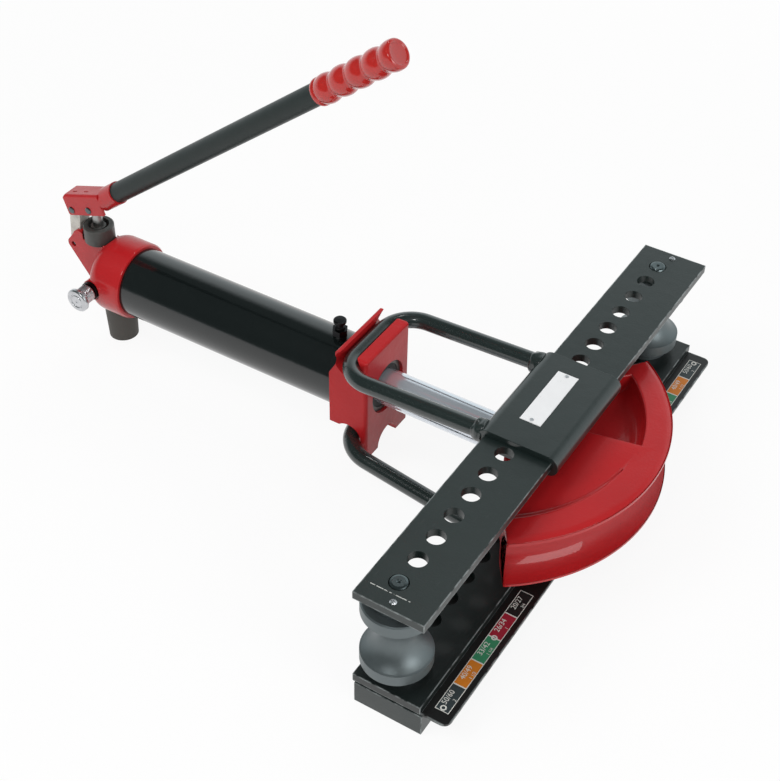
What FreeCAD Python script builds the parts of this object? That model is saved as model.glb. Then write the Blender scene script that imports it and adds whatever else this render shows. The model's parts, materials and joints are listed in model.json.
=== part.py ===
import FreeCAD, Part
import math
import os
import re

import Sketcher

# A hydraulic pipe bender: a hand pump drives a ram that pushes a grooved former between two rollers.
# Millimetres. +X runs along the ram from the pump to the former, +Y along the wings, +Z up. The origin
# is on the ground, under the ram's axis and in line with the roller pins.

Vector = FreeCAD.Vector
Rotation = FreeCAD.Rotation

SIZES = [
    ("wing_width", 80, "wing bar, across"),
    ("wing_thickness", 10, "wing bar, thick"),
    ("wing_length", 667.4, "wing bar, tip to tip"),
    ("wing_centre", 8.5, "wing bar's middle, ahead of the line of pin holes"),
    ("wing_spread", 116, "clear height between the wings"),
    ("hole_diameter", 21, "roller pin holes"),
    ("hole_margin", 33.7, "outermost hole from the wing's end"),
    ("hole_pitch", 35, "from hole to hole"),
    ("hole_count", 7, "holes on each side"),
    ("foot_width", 80, "box section under the lower wing"),
    ("foot_shift", 2, "box section's middle, ahead of the wing's"),
    ("foot_height", 29, "box section, tall"),
    ("foot_wall", 4, "box section's wall"),
    ("plate_thickness", 3, "scale plate"),
    ("plate_reach", 30.4, "scale plate, ahead of the lower wing"),
    ("plate_inset", 1.7, "scale plate's ends, inside the wing's ends"),
    ("plate_corner", 9, "scale plate's outer corners"),
    ("sleeve_wall", 8, "plate folded round the wing"),
    ("sleeve_length", 154, "sleeve, along the wing"),
    ("sleeve_corner", 12, "sleeve's outer bends"),
    ("fit_gap", 0.2, "between a sleeve or a ring and what it holds"),
    ("bar_diameter", 20, "hoop bar"),
    ("hoop_width", 132, "between the centres of a hoop's side bars"),
    ("hoop_bend", 38, "hoop's corner radius, on the bar's centre"),
    ("crossbar_back", 224.5, "hoop crossbar, behind the pin line"),
    ("crossbar_offset", 55, "hoop crossbar, above or below the ram's axis"),
    ("lower_hoop_gap", 2, "lower hoop's welded ends, below the lower sleeve"),
    ("crossbar_gap", 0.4, "round a crossbar in its groove"),
    ("bracket_width", 94, "front bracket casting, across"),
    ("bracket_front", 199, "front face, behind the pin line"),
    ("bracket_rear", 250, "rear collar, behind the pin line"),
    ("bracket_wall", 241, "rear wall, behind the pin line"),
    ("bracket_top", 68.5, "rear wall, above the ram's axis"),
    ("bracket_block", 66.5, "front block, above the ram's axis"),
    ("bracket_belly", 42.5, "rear bottom edge, below the ram's axis"),
    ("bracket_leg", 83, "front legs, below the ram's axis"),
    ("arch_radius", 20, "arch between the front legs"),
    ("gland_diameter", 66, "ram gland and pressure cylinder, outside"),
    ("tube_diameter", 88.9, "reservoir tube"),
    ("tube_wall", 3.6, "reservoir tube's wall"),
    ("cylinder_bore", 56, "pressure cylinder, inside"),
    ("ram_diameter", 44, "ram"),
    ("ram_seat", 24, "ram's shoulder, behind the pin line"),
    ("spigot_diameter", 40, "ram's end in the former"),
    ("spigot_length", 46, "ram's end, from the shoulder"),
    ("piston_front", 405, "piston's front face, behind the pin line"),
    ("piston_length", 25, "piston"),
    ("piston_stud", 24, "ram's rear stud, diameter"),
    ("seal_groove", 8, "piston seal's groove, along the ram"),
    ("seal_depth", 5, "piston seal's groove, deep"),
    ("piston_nut", 36, "piston nut, across its flats"),
    ("piston_nut_height", 14, "piston nut, thick"),
    ("running_gap", 0.05, "radial play of a running fit"),
    ("guide_diameter", 56, "ram guide bush, outside"),
    ("former_back", 74, "bend centre, behind the pin line"),
    ("former_radius", 212, "former's lips"),
    ("former_height", 68, "former, lip to lip"),
    ("former_angle", 54, "half the former's arc, degrees"),
    ("former_rim", 34, "former's rim, across"),
    ("lip_round", 15, "outer edge of the former's top"),
    ("pipe_radius", 30.5, "groove for a two inch pipe"),
    ("web_floor", 6, "underside of the former's web, below the ram's axis"),
    ("field_depth", 12, "sloping field on the near side, at its deep end"),
    ("field_run", 160, "sloping field, from the rib to its deep end"),
    ("field_edge", 16, "sloping field's outer edge, across"),
    ("heel_radius", 148, "former's flat rear ends start here, from the bend centre"),
    ("rib_width", 10, "ribs under the former's web"),
    ("rib_angle", 20.5, "ribs under the web, degrees at the rim"),
    ("pocket_floor", 8, "deep pocket's floor, above the ram's axis"),
    ("pocket_round", 18, "rounding between the pocket's floor and the rim"),
    ("pocket_start", 11.5, "deep pocket's first side, degrees"),
    ("pocket_end", 49, "deep pocket's last side, degrees"),
    ("pocket_inner", 66, "deep pocket's inner side, from the bend centre"),
    ("hub_width", 76, "former's hub, across"),
    ("hub_length", 62, "former's hub, along the ram"),
    ("roller_diameter", 76, "roller's flanges"),
    ("roller_height", 90, "roller, flange to flange"),
    ("roller_rim", 15, "roller's flange, tall"),
    ("roller_waist", 40, "roller's waist"),
    ("roller_hub", 56, "roller's boss on each side"),
    ("wing_gap", 0.3, "roller's boss to the wing"),
    ("bush_diameter", 25, "roller bush, outside"),
    ("pin_diameter", 20, "roller pin"),
    ("pin_proud", 1.6, "roller pin, above the upper wing"),
    ("pin_centre", 5, "centre hole in the roller pin's end"),
    ("head_front", 566, "pump head's lip, behind the pin line"),
    ("head_radius", 50, "pump head's round body"),
    ("head_round", 20, "pump head's rear corner"),
    ("head_length", 54, "pump head, lip to rear face"),
    ("socket_depth", 14, "reservoir tube in the pump head"),
    ("pump_back", 628.5, "pump plunger's axis, behind the pin line"),
    ("boss_top", 43, "pump column, above the ram's axis"),
    ("nut_diameter", 39, "pump gland nut"),
    ("nut_height", 23, "pump gland nut"),
    ("nut_spigot", 22, "gland nut's threaded end, diameter"),
    ("nut_thread", 12, "gland nut's threaded end, long"),
    ("nut_recess", 6, "recess in the gland nut's top"),
    ("seal_height", 5.6, "plunger seal"),
    ("plunger_diameter", 13, "pump plunger"),
    ("plunger_eye", 16, "plunger's eye, outside"),
    ("eye_play", 1, "round the pin in the plunger's eye"),
    ("lug_pin_back", 662.3, "lug pin, behind the pin line"),
    ("lug_pin_rise", 29.5, "lug pin, above the ram's axis"),
    ("link_length", 54.2, "link, hole to hole"),
    ("link_lean", 5.8, "link, degrees from upright"),
    ("link_width", 16, "link, across"),
    ("link_thickness", 18, "link, between the ears"),
    ("lever_width", 28, "lever block and lug, outside"),
    ("lever_wall", 4, "lever block's sheet"),
    ("side_play", 0.5, "beside the link in its fork"),
    ("lever_tilt", 18.8, "lever block, degrees"),
    ("lever_pitch", 29.9, "lever block, pin to pin"),
    ("lever_front", 54, "lever block, ahead of its link pin"),
    ("lever_tail", 7.5, "lever block, behind its link pin"),
    ("lever_drop", 7, "lever block, below its pins"),
    ("lever_rise", 21, "lever block, above its pins"),
    ("lever_pin", 7, "pins of the lever and link"),
    ("pin_play", 0.15, "round a turning pin"),
    ("handle_tilt", 38.05, "lever tube, degrees"),
    ("handle_back", 592, "lever tube's foot, behind the pin line"),
    ("handle_rise", 123.6, "lever tube's foot, above the ram's axis"),
    ("handle_length", 506, "lever tube's foot to the grip's end"),
    ("handle_diameter", 25.4, "lever tube"),
    ("handle_wall", 3, "lever tube's wall"),
    ("grip_length", 119, "grip"),
    ("grip_diameter", 33, "grip's bulges"),
    ("grip_valley", 27, "grip, between the bulges"),
    ("grip_bulges", 3, "bulges between the grip's mouth and its end"),
    ("grip_pitch", 25, "from bulge to bulge"),
    ("grip_mouth", 17.5, "grip's mouth, to its first valley"),
    ("grip_end", 6, "grip's closed end"),
    ("socket_diameter", 28.5, "handle socket"),
    ("socket_end", 6, "socket's face, from the handle's foot"),
    ("socket_plug", 34, "socket's end inside the lever tube"),
    ("valve_back", 609, "release valve's axis, behind the pin line"),
    ("valve_seat", 47, "release valve's collar, from the ram's axis"),
    ("valve_collar", 24, "release valve's collar"),
    ("collar_width", 5, "release valve's collar, along its axis"),
    ("valve_spindle", 10, "release valve's spindle"),
    ("knob_body", 22, "release knob's knurled body"),
    ("knob_disc", 31, "release knob's end disc"),
    ("knob_disc_width", 7, "release knob's end disc, along its axis"),
    ("knob_reach", 29, "release knob's face, from the collar's seat"),
    ("knob_bore", 15.2, "end of the knob's hole, from the collar's seat"),
    ("rear_foot_back", 608.5, "rear foot's axis, behind the pin line"),
    ("rear_foot_diameter", 41.5, "rear foot, top"),
    ("rear_foot_base", 38, "rear foot, bottom"),
    ("rear_foot_top", 49, "rear foot's height"),
    ("foot_stud", 12, "rear foot's stud"),
    ("vent_back", 265.5, "vent screw's axis, behind the pin line"),
    ("vent_diameter", 17, "vent boss"),
    ("vent_rise", 5.5, "vent boss, above the tube"),
    ("vent_nut", 8, "vent screw's hexagon, tall"),
    ("vent_neck", 9, "vent screw's neck"),
    ("vent_reach", 27.8, "vent screw's top, above the tube"),
    ("valve_poppet", 8, "valve poppets"),
    ("name_plate_length", 91, "name plate, along the wing"),
    ("name_plate_width", 25, "name plate, across"),
    ("rivet_diameter", 4, "rivets"),
    ("screw_diameter", 7.5, "screws at the wing's ends"),
    ("screw_inset", 9.5, "screws, from the wing's ends"),
]

doc = FreeCAD.newDocument("pipe_bender")
sheet = doc.addObject("Spreadsheet::Sheet", "Sizes")
for row, (alias, number, meaning) in enumerate(SIZES, 1):
    sheet.set("A%d" % row, alias)
    sheet.set("B%d" % row, str(number))
    sheet.set("C%d" % row, meaning)
    sheet.setAlias("B%d" % row, alias)
doc.recompute()

# Heights that follow from the stack of foot, plate and lower wing, and places that follow from sizes.
WING_FLOOR = "(foot_height + plate_thickness)"
AXIS = "(foot_height + plate_thickness + wing_thickness + wing_spread / 2)"
WING_OFFSET = "(wing_spread / 2 + wing_thickness / 2)"
HOLE_FIRST = "(wing_length / 2 - hole_margin)"
LINK_PIN_X = "(-lug_pin_back + link_length * sin(link_lean))"
LINK_PIN_Z = "(lug_pin_rise + link_length * cos(link_lean))"


def named(text):
    """Give every size in an expression its place in the sheet."""
    return re.sub(r"\b([a-z]+_\w+)\b", r"Sizes.\1", str(text))


def value(text):
    """The number that an expression stands for."""
    return float(sheet.evalExpression(named(text)))


def bind(item, **expressions):
    """Tie properties of an object to the sheet. Two underscores stand for a dot."""
    for key, text in expressions.items():
        item.setExpression(key.replace("__", "."), named(text))
    return item


def place(item, x="0", y="0", z="0"):
    """Tie an object's position to the sheet."""
    return bind(item, Placement__Base__x=x, Placement__Base__y=y, Placement__Base__z=z)


def new_body(label):
    body = doc.addObject("PartDesign::Body", label)
    body.Label = label
    return body


def sketch(body, role, offset="0"):
    """A sketch on one of the body's own planes, moved along the plane's normal."""
    drawing = body.newObject("Sketcher::SketchObject", body.Label + "_sketch")
    plane = next(item for item in body.Origin.OriginFeatures if item.Role == role)
    drawing.AttachmentSupport = [(plane, "")]
    drawing.MapMode = "FlatFace"
    return bind(drawing, AttachmentOffset__Base__z=offset)


def fix(drawing, kind, targets, text):
    """Add one dimension to a sketch and tie it to the sheet."""
    index = drawing.addConstraint(Sketcher.Constraint(kind, *targets, value(text)))
    drawing.setExpression("Constraints[%d]" % index, named(text))


def outline(drawing, corners):
    """A closed outline. A third entry is the radius of the arc to the next corner, positive when
    it turns left on the way and negative when it turns right."""
    points = [Vector(value(corner[0]), value(corner[1]), 0) for corner in corners]
    ends = []
    for number, corner in enumerate(corners):
        start = points[number]
        end = points[(number + 1) % len(points)]
        if len(corner) == 2:
            edge = drawing.addGeometry(Part.LineSegment(start, end))
            ends.append((edge, 1, 2))
            continue
        radius = value(corner[2])
        half = (end - start) * 0.5
        side = Vector(-half.y, half.x, 0).normalize()
        height = math.sqrt(max(radius ** 2 - half.Length ** 2, 0))
        centre = start + half + side * math.copysign(height, radius)
        first, last = (start, end) if radius > 0 else (end, start)
        angles = [math.atan2(point.y - centre.y, point.x - centre.x) for point in (first, last)]
        circle = Part.Circle(centre, Vector(0, 0, 1), abs(radius))
        edge = drawing.addGeometry(Part.ArcOfCircle(circle, *angles))
        ends.append((edge, 1, 2) if radius > 0 else (edge, 2, 1))
        fix(drawing, "Radius", (edge,), corner[2].lstrip("-"))
    for number, (edge, start, end) in enumerate(ends):
        following = ends[(number + 1) % len(ends)]
        drawing.addConstraint(Sketcher.Constraint("Coincident", edge, end, following[0], following[1]))
        fix(drawing, "DistanceX", (-1, 1, edge, start), corners[number][0])
        fix(drawing, "DistanceY", (-1, 1, edge, start), corners[number][1])
    return drawing


def rectangle(drawing, left, right, bottom, top):
    return outline(drawing, [(left, bottom), (right, bottom), (right, top), (left, top)])


def circle(drawing, x, y, diameter):
    centre = Vector(value(x), value(y), 0)
    edge = drawing.addGeometry(Part.Circle(centre, Vector(0, 0, 1), value(diameter) / 2))
    fix(drawing, "Diameter", (edge,), diameter)
    fix(drawing, "DistanceX", (-1, 1, edge, 3), x)
    fix(drawing, "DistanceY", (-1, 1, edge, 3), y)
    return drawing


def axis_line(drawing, start, end):
    """A construction line that a revolution turns about."""
    points = [Vector(value(corner[0]), value(corner[1]), 0) for corner in (start, end)]
    edge = drawing.addGeometry(Part.LineSegment(*points), True)
    for position, corner in ((1, start), (2, end)):
        fix(drawing, "DistanceX", (-1, 1, edge, position), corner[0])
        fix(drawing, "DistanceY", (-1, 1, edge, position), corner[1])
    return drawing


def feature(body, kind, drawing, adds, **settings):
    """A feature from a sketch. The body's volume must change the right way."""
    before = body.Shape.Volume if body.Tip else 0
    step = body.newObject("PartDesign::" + kind, body.Label + "_" + kind.lower())
    step.Profile = drawing
    expressions = {key: text for key, text in settings.items() if key in ("Length", "Angle")}
    for key, setting in settings.items():
        if key not in expressions:
            setattr(step, key, setting)
    bind(step, **expressions)
    drawing.Visibility = False
    doc.recompute()
    change = body.Shape.Volume - before
    if (change > 0) != adds or abs(change) < 1e-3:
        raise RuntimeError("%s: %s changed the volume by %.3f" % (body.Label, kind, change))
    return step


def pad(body, drawing, length, middle=False, back=False):
    side = "Symmetric" if middle else "One side"
    return feature(body, "Pad", drawing, True, Length=length, SideType=side, Reversed=back)


def pocket(body, drawing, length, middle=False, back=False):
    side = "Symmetric" if middle else "One side"
    return feature(body, "Pocket", drawing, False, Length=length, SideType=side, Reversed=back)


def revolve(body, drawing, axis="V_Axis", angle="360", adds=True, middle=False):
    kind = "Revolution" if adds else "Groove"
    return feature(body, kind, drawing, adds, ReferenceAxis=(drawing, [axis]), Angle=angle, Midplane=middle)


def edges_where(shape, test):
    """Names of a shape's edges for which the test on an edge holds."""
    return ["Edge%d" % number for number, edge in enumerate(shape.Edges, 1) if test(edge)]


def soften(body, radius, test, kind="Fillet"):
    """Round or chamfer the edges of the body's last feature that the test picks."""
    base = body.Tip
    names = edges_where(base.Shape, test)
    if not names:
        raise RuntimeError("%s: no edge to soften" % body.Label)
    step = body.newObject("PartDesign::" + kind, body.Label + "_" + kind.lower())
    step.Base = (base, names)
    bind(step, **{"Radius" if kind == "Fillet" else "Size": radius})
    doc.recompute()
    return step


def at_all(edge, **limits):
    """True when every point of the edge has the given coordinates, within a tenth."""
    box = edge.BoundBox
    sides = {"x": (box.XMin, box.XMax), "y": (box.YMin, box.YMax), "z": (box.ZMin, box.ZMax)}
    return all(abs(end - limits[key]) < 0.1 for key in limits for end in sides[key])


TURNS = {
    "z": Rotation(),
    "x": Rotation(Vector(0, 1, 0), 90),
    "y": Rotation(Vector(1, 0, 0), -90),
}


def rod(label, diameter, length, along, x="0", y="0", z="0"):
    """A plain cylinder that starts at a place and runs along +X, +Y or +Z."""
    item = doc.addObject("Part::Cylinder", label)
    item.Label = label
    item.Placement = FreeCAD.Placement(Vector(), TURNS[along])
    bind(item, Radius="(%s) / 2" % diameter, Height=length)
    return place(item, x, y, z)


def cone(label, first, last, length, along, x="0", y="0", z="0"):
    """A cone from its first diameter to its last."""
    item = doc.addObject("Part::Cone", label)
    item.Placement = FreeCAD.Placement(Vector(), TURNS[along])
    bind(item, Radius1="(%s) / 2" % first, Radius2="(%s) / 2" % last, Height=length)
    return place(item, x, y, z)


def block(label, length, width, height, x="0", y="0", z="0"):
    """A box from its low corner."""
    item = doc.addObject("Part::Box", label)
    bind(item, Length=length, Width=width, Height=height)
    return place(item, x, y, z)


def join(label, *items):
    whole = doc.addObject("Part::MultiFuse", label)
    whole.Label = label
    whole.Shapes = list(items)
    doc.recompute()
    return whole


def cut(label, base, *tools):
    """Take each tool from the base. Every tool must remove something."""
    for number, tool in enumerate(tools, 1):
        last = number == len(tools)
        step = doc.addObject("Part::Cut", label if last else "%s_cut%d" % (label, number))
        step.Base = base
        step.Tool = tool
        doc.recompute()
        if step.Shape.Volume > step.Base.Shape.Volume - 1e-3:
            raise RuntimeError("%s: cut %d removes nothing" % (label, number))
        base = step
    base.Label = label
    return base


def common(label, first, second):
    """What two solids share."""
    shared = doc.addObject("Part::MultiCommon", label)
    shared.Shapes = [first, second]
    doc.recompute()
    return shared


def tube(label, outside, inside, length, along, x="0", y="0", z="0"):
    """A straight tube, bored a little past both ends."""
    wall = rod(label + "_outside", outside, length, along, x, y, z)
    shift = {"x": (x + " - 1", y, z), "y": (x, y + " - 1", z), "z": (x, y, z + " - 1")}[along]
    bore = rod(label + "_bore", inside, length + " + 2", along, *shift)
    return cut(label, wall, bore)


nodes = []


def keep(item):
    """Note a finished piece, which gets a file of its own."""
    nodes.append(item)
    return item


def wing(label, floor):
    """A flat bar with a row of pin holes on each side of the ram."""
    body = new_body(label)
    bar = sketch(body, "XY_Plane", floor)
    rectangle(bar, "wing_centre - wing_width / 2", "wing_centre + wing_width / 2",
              "-wing_length / 2", "wing_length / 2")
    pad(body, bar, "wing_thickness")
    for side in (1, -1):
        hole = sketch(body, "XY_Plane", floor + " - 1")
        circle(hole, "0", "%d * %s" % (side, HOLE_FIRST), "hole_diameter")
        first = pocket(body, hole, "wing_thickness + 2", back=True)
        row = body.newObject("PartDesign::LinearPattern", label + "_row")
        row.Originals = [first]
        row.Direction = (hole, ["V_Axis"])
        row.Reversed = side > 0
        bind(row, Length="hole_pitch * (hole_count - 1)", Occurrences="hole_count")
        body.Tip = row
        doc.recompute()
    return keep(body)


def sleeve(label, middle):
    """A plate folded tightly round a wing, with round bends."""
    body = new_body(label)
    drawing = sketch(body, "XZ_Plane", "-sleeve_length / 2")
    far = "(wing_centre + wing_width / 2 + sleeve_wall)"
    near = "(wing_centre - wing_width / 2 - sleeve_wall)"
    top = "(%s + wing_thickness / 2 + sleeve_wall)" % middle
    low = "(%s - wing_thickness / 2 - sleeve_wall)" % middle
    bend = "min(sleeve_corner; wing_thickness / 2 + sleeve_wall - 0.1)"
    outline(drawing, [(near + " + " + bend, low), (far + " - " + bend, low, bend),
                      (far, low + " + " + bend), (far, top + " - " + bend, bend),
                      (far + " - " + bend, top), (near + " + " + bend, top, bend),
                      (near, top + " - " + bend), (near, low + " + " + bend, bend)])
    rectangle(drawing, near + " + sleeve_wall - fit_gap", far + " - sleeve_wall + fit_gap",
              low + " + sleeve_wall - fit_gap", top + " - sleeve_wall + fit_gap")
    pad(body, drawing, "sleeve_length")
    return keep(body)


def hoop(label, side, face, end_offset):
    """A round bar bent to a U. It slopes from the face it is welded to, at a height above or below the
    ram's axis, to its crossbar, which is nearer the ram."""
    body = new_body(label)
    end = "(crossbar_back + %s - fit_gap)" % face
    reach = "sqrt(%s ^ 2 + (%s - crossbar_offset) ^ 2)" % (end, end_offset)
    half = "(hoop_width / 2)"
    path = sketch(body, "XY_Plane")
    legs = [(reach, "-" + half), ("hoop_bend", "-" + half), ("0", "-%s + hoop_bend" % half),
            ("0", half + " - hoop_bend"), ("hoop_bend", half), (reach, half)]
    points = [Vector(value(x), value(y), 0) for x, y in legs]
    lines = [path.addGeometry(Part.LineSegment(points[index], points[index + 1])) for index in (0, 2, 4)]
    bend = value("hoop_bend")
    arcs = []
    for centre_y, start, end_angle in ((points[1].y + bend, math.pi, 1.5 * math.pi),
                                       (points[3].y, 0.5 * math.pi, math.pi)):
        round_corner = Part.Circle(Vector(bend, centre_y, 0), Vector(0, 0, 1), bend)
        arc = Part.ArcOfCircle(round_corner, start, end_angle)
        arcs.append(path.addGeometry(arc))
        fix(path, "Radius", (arcs[-1],), "hoop_bend")
    for first, last in (((lines[0], 2), (arcs[0], 2)), ((arcs[0], 1), (lines[1], 1)),
                        ((lines[1], 2), (arcs[1], 2)), ((arcs[1], 1), (lines[2], 1))):
        path.addConstraint(Sketcher.Constraint("Coincident", *first, *last))
    for line, corners in zip(lines, ((0, 1), (2, 3), (4, 5))):
        for position, corner in enumerate(corners, 1):
            fix(path, "DistanceX", (-1, 1, line, position), legs[corner][0])
            fix(path, "DistanceY", (-1, 1, line, position), legs[corner][1])
    section = sketch(body, "YZ_Plane", reach)
    circle(section, "-" + half, "0", "bar_diameter")
    path.Visibility = False
    doc.recompute()
    feature(body, "AdditivePipe", section, True, Spine=path)
    body.Placement = FreeCAD.Placement(Vector(), Rotation(Vector(0, -side, 0), 1))
    slope = "atan((%s - crossbar_offset) / %s)" % (end_offset, end)
    bind(body, Placement__Rotation__Angle=slope)
    place(body, "-crossbar_back", "0", "%s + %d * crossbar_offset" % (AXIS, side))
    return keep(body)


def foot_channel():
    """The closed box section that the lower wing stands on, notched for the lower sleeve."""
    left = "(wing_centre + foot_shift - foot_width / 2)"
    outside = block("foot_outside", "foot_width", "wing_length", "foot_height", left, "-wing_length / 2")
    inside = block("foot_inside", "foot_width - 2 * foot_wall", "wing_length - 2 * foot_wall",
                   "foot_height - 2 * foot_wall", left + " + foot_wall",
                   "-wing_length / 2 + foot_wall", "foot_wall")
    notch = block("foot_notch", "foot_width + 40", "sleeve_length + 1", "foot_height", left + " - 20",
                  "-sleeve_length / 2 - 0.5", WING_FLOOR + " - sleeve_wall - fit_gap")
    return keep(cut("foot_channel", outside, inside, notch))


def scale_plate():
    """The thin plate under the lower wing. Its front edge carries the scale of pipe sizes."""
    body = new_body("scale_plate")
    drawing = sketch(body, "XY_Plane", "foot_height")
    back = "(wing_centre - wing_width / 2)"
    front = "(wing_centre + wing_width / 2 + plate_reach)"
    tip = "(wing_length / 2 - plate_inset)"
    notch = "(wing_centre + wing_width / 2 + sleeve_wall + 0.5)"
    side = "(sleeve_length / 2 + 0.5)"
    outline(drawing, [(back, "-" + tip), (front + " - plate_corner", "-" + tip, "plate_corner"),
                      (front, "-%s + plate_corner" % tip), (front, tip + " - plate_corner", "plate_corner"),
                      (front + " - plate_corner", tip), (back, tip),
                      (back, side), (notch, side), (notch, "-" + side), (back, "-" + side)])
    pad(body, drawing, "plate_thickness")
    return keep(body)


def bracket():
    """The casting that ties the cylinder to both hoops, with a groove for each crossbar."""
    body = new_body("front_bracket")
    groove = "(bar_diameter / 2 + crossbar_gap)"
    front = "-bracket_front"
    back = "-bracket_wall"
    profile = sketch(body, "XZ_Plane")
    outline(profile, [
        ("-bracket_rear", AXIS + " - bracket_belly"),
        ("-crossbar_back - bar_diameter / 5", AXIS + " - bracket_belly"),
        ("-crossbar_back - bar_diameter / 5", AXIS + " - crossbar_offset"),
        ("-crossbar_back + " + groove, AXIS + " - crossbar_offset"),
        ("-crossbar_back + " + groove, AXIS + " - bracket_leg"),
        (front, AXIS + " - bracket_leg"),
        (front, AXIS + " + bracket_block"),
        ("-crossbar_back + " + groove, AXIS + " + bracket_block"),
        ("-crossbar_back + " + groove, AXIS + " + crossbar_offset"),
        ("-crossbar_back - " + groove, AXIS + " + crossbar_offset"),
        ("-crossbar_back - " + groove, AXIS + " + bracket_top"),
        (back, AXIS + " + bracket_top"),
        (back, AXIS + " + tube_diameter / 2 + 4"),
        ("-bracket_rear", AXIS + " + tube_diameter / 2 - 12")])
    pad(body, profile, "bracket_width", middle=True)
    wall = value(back)
    top = value(AXIS + " + bracket_top")
    block_top = value(AXIS + " + bracket_block")
    face = value(front)
    soften(body, "3", lambda edge: at_all(edge, x=wall, z=top) or at_all(edge, x=face, z=block_top))
    sides = [value("bracket_width / 2"), value("-bracket_width / 2")]
    soften(body, "5", lambda edge: any(at_all(edge, x=face, y=side) for side in sides))
    for side in ("+", "-"):
        drawing = sketch(body, "XZ_Plane")
        circle(drawing, "-crossbar_back", "%s %s crossbar_offset" % (AXIS, side), "2 * " + groove)
        pocket(body, drawing, "bracket_width + 2", middle=True)
    # The crossbar bends forward inside the casting, so each groove flares towards its ends.
    start = "(hoop_width / 2 - hoop_bend)"
    edge_y = "(bracket_width / 2 + 1)"
    swell = "(hoop_bend - sqrt(hoop_bend ^ 2 - (%s - %s) ^ 2) + bar_diameter / 12)" % (edge_y, start)
    for side in ("+", "-"):
        flare = sketch(body, "XY_Plane", "%s %s crossbar_offset" % (AXIS, side))
        for sign in ("", "-"):
            outline(flare, [("-crossbar_back", sign + start), ("-crossbar_back + " + groove, sign + start),
                            ("-crossbar_back + %s + %s" % (groove, swell), sign + edge_y),
                            ("-crossbar_back", sign + edge_y)])
        axis_line(flare, ("-crossbar_back", "-10"), ("-crossbar_back", "10"))
        revolve(body, flare, "Axis0", adds=False)
    arch = sketch(body, "YZ_Plane", "-crossbar_back")
    circle(arch, "0", AXIS + " - bracket_leg", "2 * arch_radius")
    pocket(body, arch, "crossbar_back - bracket_front + 1", back=True)
    bore = sketch(body, "YZ_Plane", "-bracket_rear - 1")
    circle(bore, "0", AXIS, "gland_diameter + 2 * fit_gap")
    pocket(body, bore, "bracket_rear - bracket_front + 2", back=True)
    seat = sketch(body, "YZ_Plane", "-bracket_rear - 1")
    circle(seat, "0", AXIS, "tube_diameter + 2 * fit_gap")
    pocket(body, seat, "bracket_rear - bracket_wall + 1", back=True)
    return keep(body)


def cylinder_parts():
    """The reservoir tube, the pressure cylinder in it and what closes its front end."""
    tube_start = "(-head_front - socket_depth + fit_gap)"
    skin = tube("reservoir_shell", "tube_diameter", "tube_diameter - 2 * tube_wall",
                "(head_front + socket_depth - bracket_wall - 2 * fit_gap)", "x", tube_start, "0", AXIS)
    hole = rod("vent_hole", "vent_diameter - 7", "tube_diameter", "z", "-vent_back", "0", AXIS)
    keep(cut("reservoir_tube", skin, hole))
    keep(tube("pressure_cylinder", "gland_diameter", "cylinder_bore",
              "(head_front + socket_depth + 8 - bracket_wall - 2 * fit_gap)", "x",
              "(-head_front - socket_depth - 8 + fit_gap)", "0", AXIS))
    keep(tube("ram_gland_nut", "gland_diameter", "guide_diameter",
              "(bracket_wall - bracket_front - 4)", "x", "-bracket_wall", "0", AXIS))
    keep(tube("ram_guide_bush", "guide_diameter - fit_gap", "ram_diameter + 2 * running_gap",
              "(bracket_wall - bracket_front - 12)", "x", "-bracket_wall", "0", AXIS))
    keep(tube("ram_wiper", "guide_diameter - fit_gap", "ram_diameter + 0.3", "7",
              "x", "(-bracket_front - 11.8)", "0", AXIS))


def ram_parts():
    """The ram with its shoulder and spigot, and the piston on its rear stud."""
    long = rod("ram_shaft", "ram_diameter", "piston_front - ram_seat", "x", "-piston_front", "0", AXIS)
    spigot = rod("ram_spigot", "spigot_diameter", "spigot_length - 2", "x", "-ram_seat", "0", AXIS)
    nose = cone("ram_nose", "spigot_diameter", "spigot_diameter - 4", "2", "x",
                "-ram_seat + spigot_length - 2", "0", AXIS)
    stud = rod("ram_stud", "piston_stud", "piston_length + piston_nut_height + 1", "x",
               "-piston_front - piston_length - piston_nut_height - 1", "0", AXIS)
    keep(join("ram_rod", stud, long, spigot, nose))
    ring = tube("piston_ring", "cylinder_bore - 2 * running_gap", "piston_stud + 2 * running_gap",
                "piston_length", "x", "-piston_front - piston_length", "0", AXIS)
    groove_base = "-piston_front - piston_length / 2 - seal_groove / 2"
    groove = tube("piston_groove", "cylinder_bore + 2", "cylinder_bore - 2 * seal_depth",
                  "seal_groove", "x", groove_base, "0", AXIS)
    keep(cut("piston", ring, groove))
    keep(tube("piston_seal", "cylinder_bore - 2 * running_gap", "cylinder_bore - 2 * seal_depth + fit_gap",
              "seal_groove - fit_gap", "x", groove_base + " + fit_gap / 2", "0", AXIS))
    body = new_body("piston_nut")
    drawing = sketch(body, "YZ_Plane", "-piston_front - piston_length - piston_nut_height")
    hexagon(drawing, "0", AXIS, "piston_nut")
    circle(drawing, "0", AXIS, "piston_stud + 2 * running_gap")
    pad(body, drawing, "piston_nut_height - fit_gap / 2")
    keep(body)


def hexagon(drawing, x, y, flats):
    """A hexagon with two flats level, by its width across flats."""
    corner = "(%s / 2 / cos(30))" % flats
    steps = [(corner + " * cos(%d)" % angle, corner + " * sin(%d)" % angle) for angle in range(0, 360, 60)]
    return outline(drawing, [("%s + %s" % (x, dx), "%s + %s" % (y, dy)) for dx, dy in steps])


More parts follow.
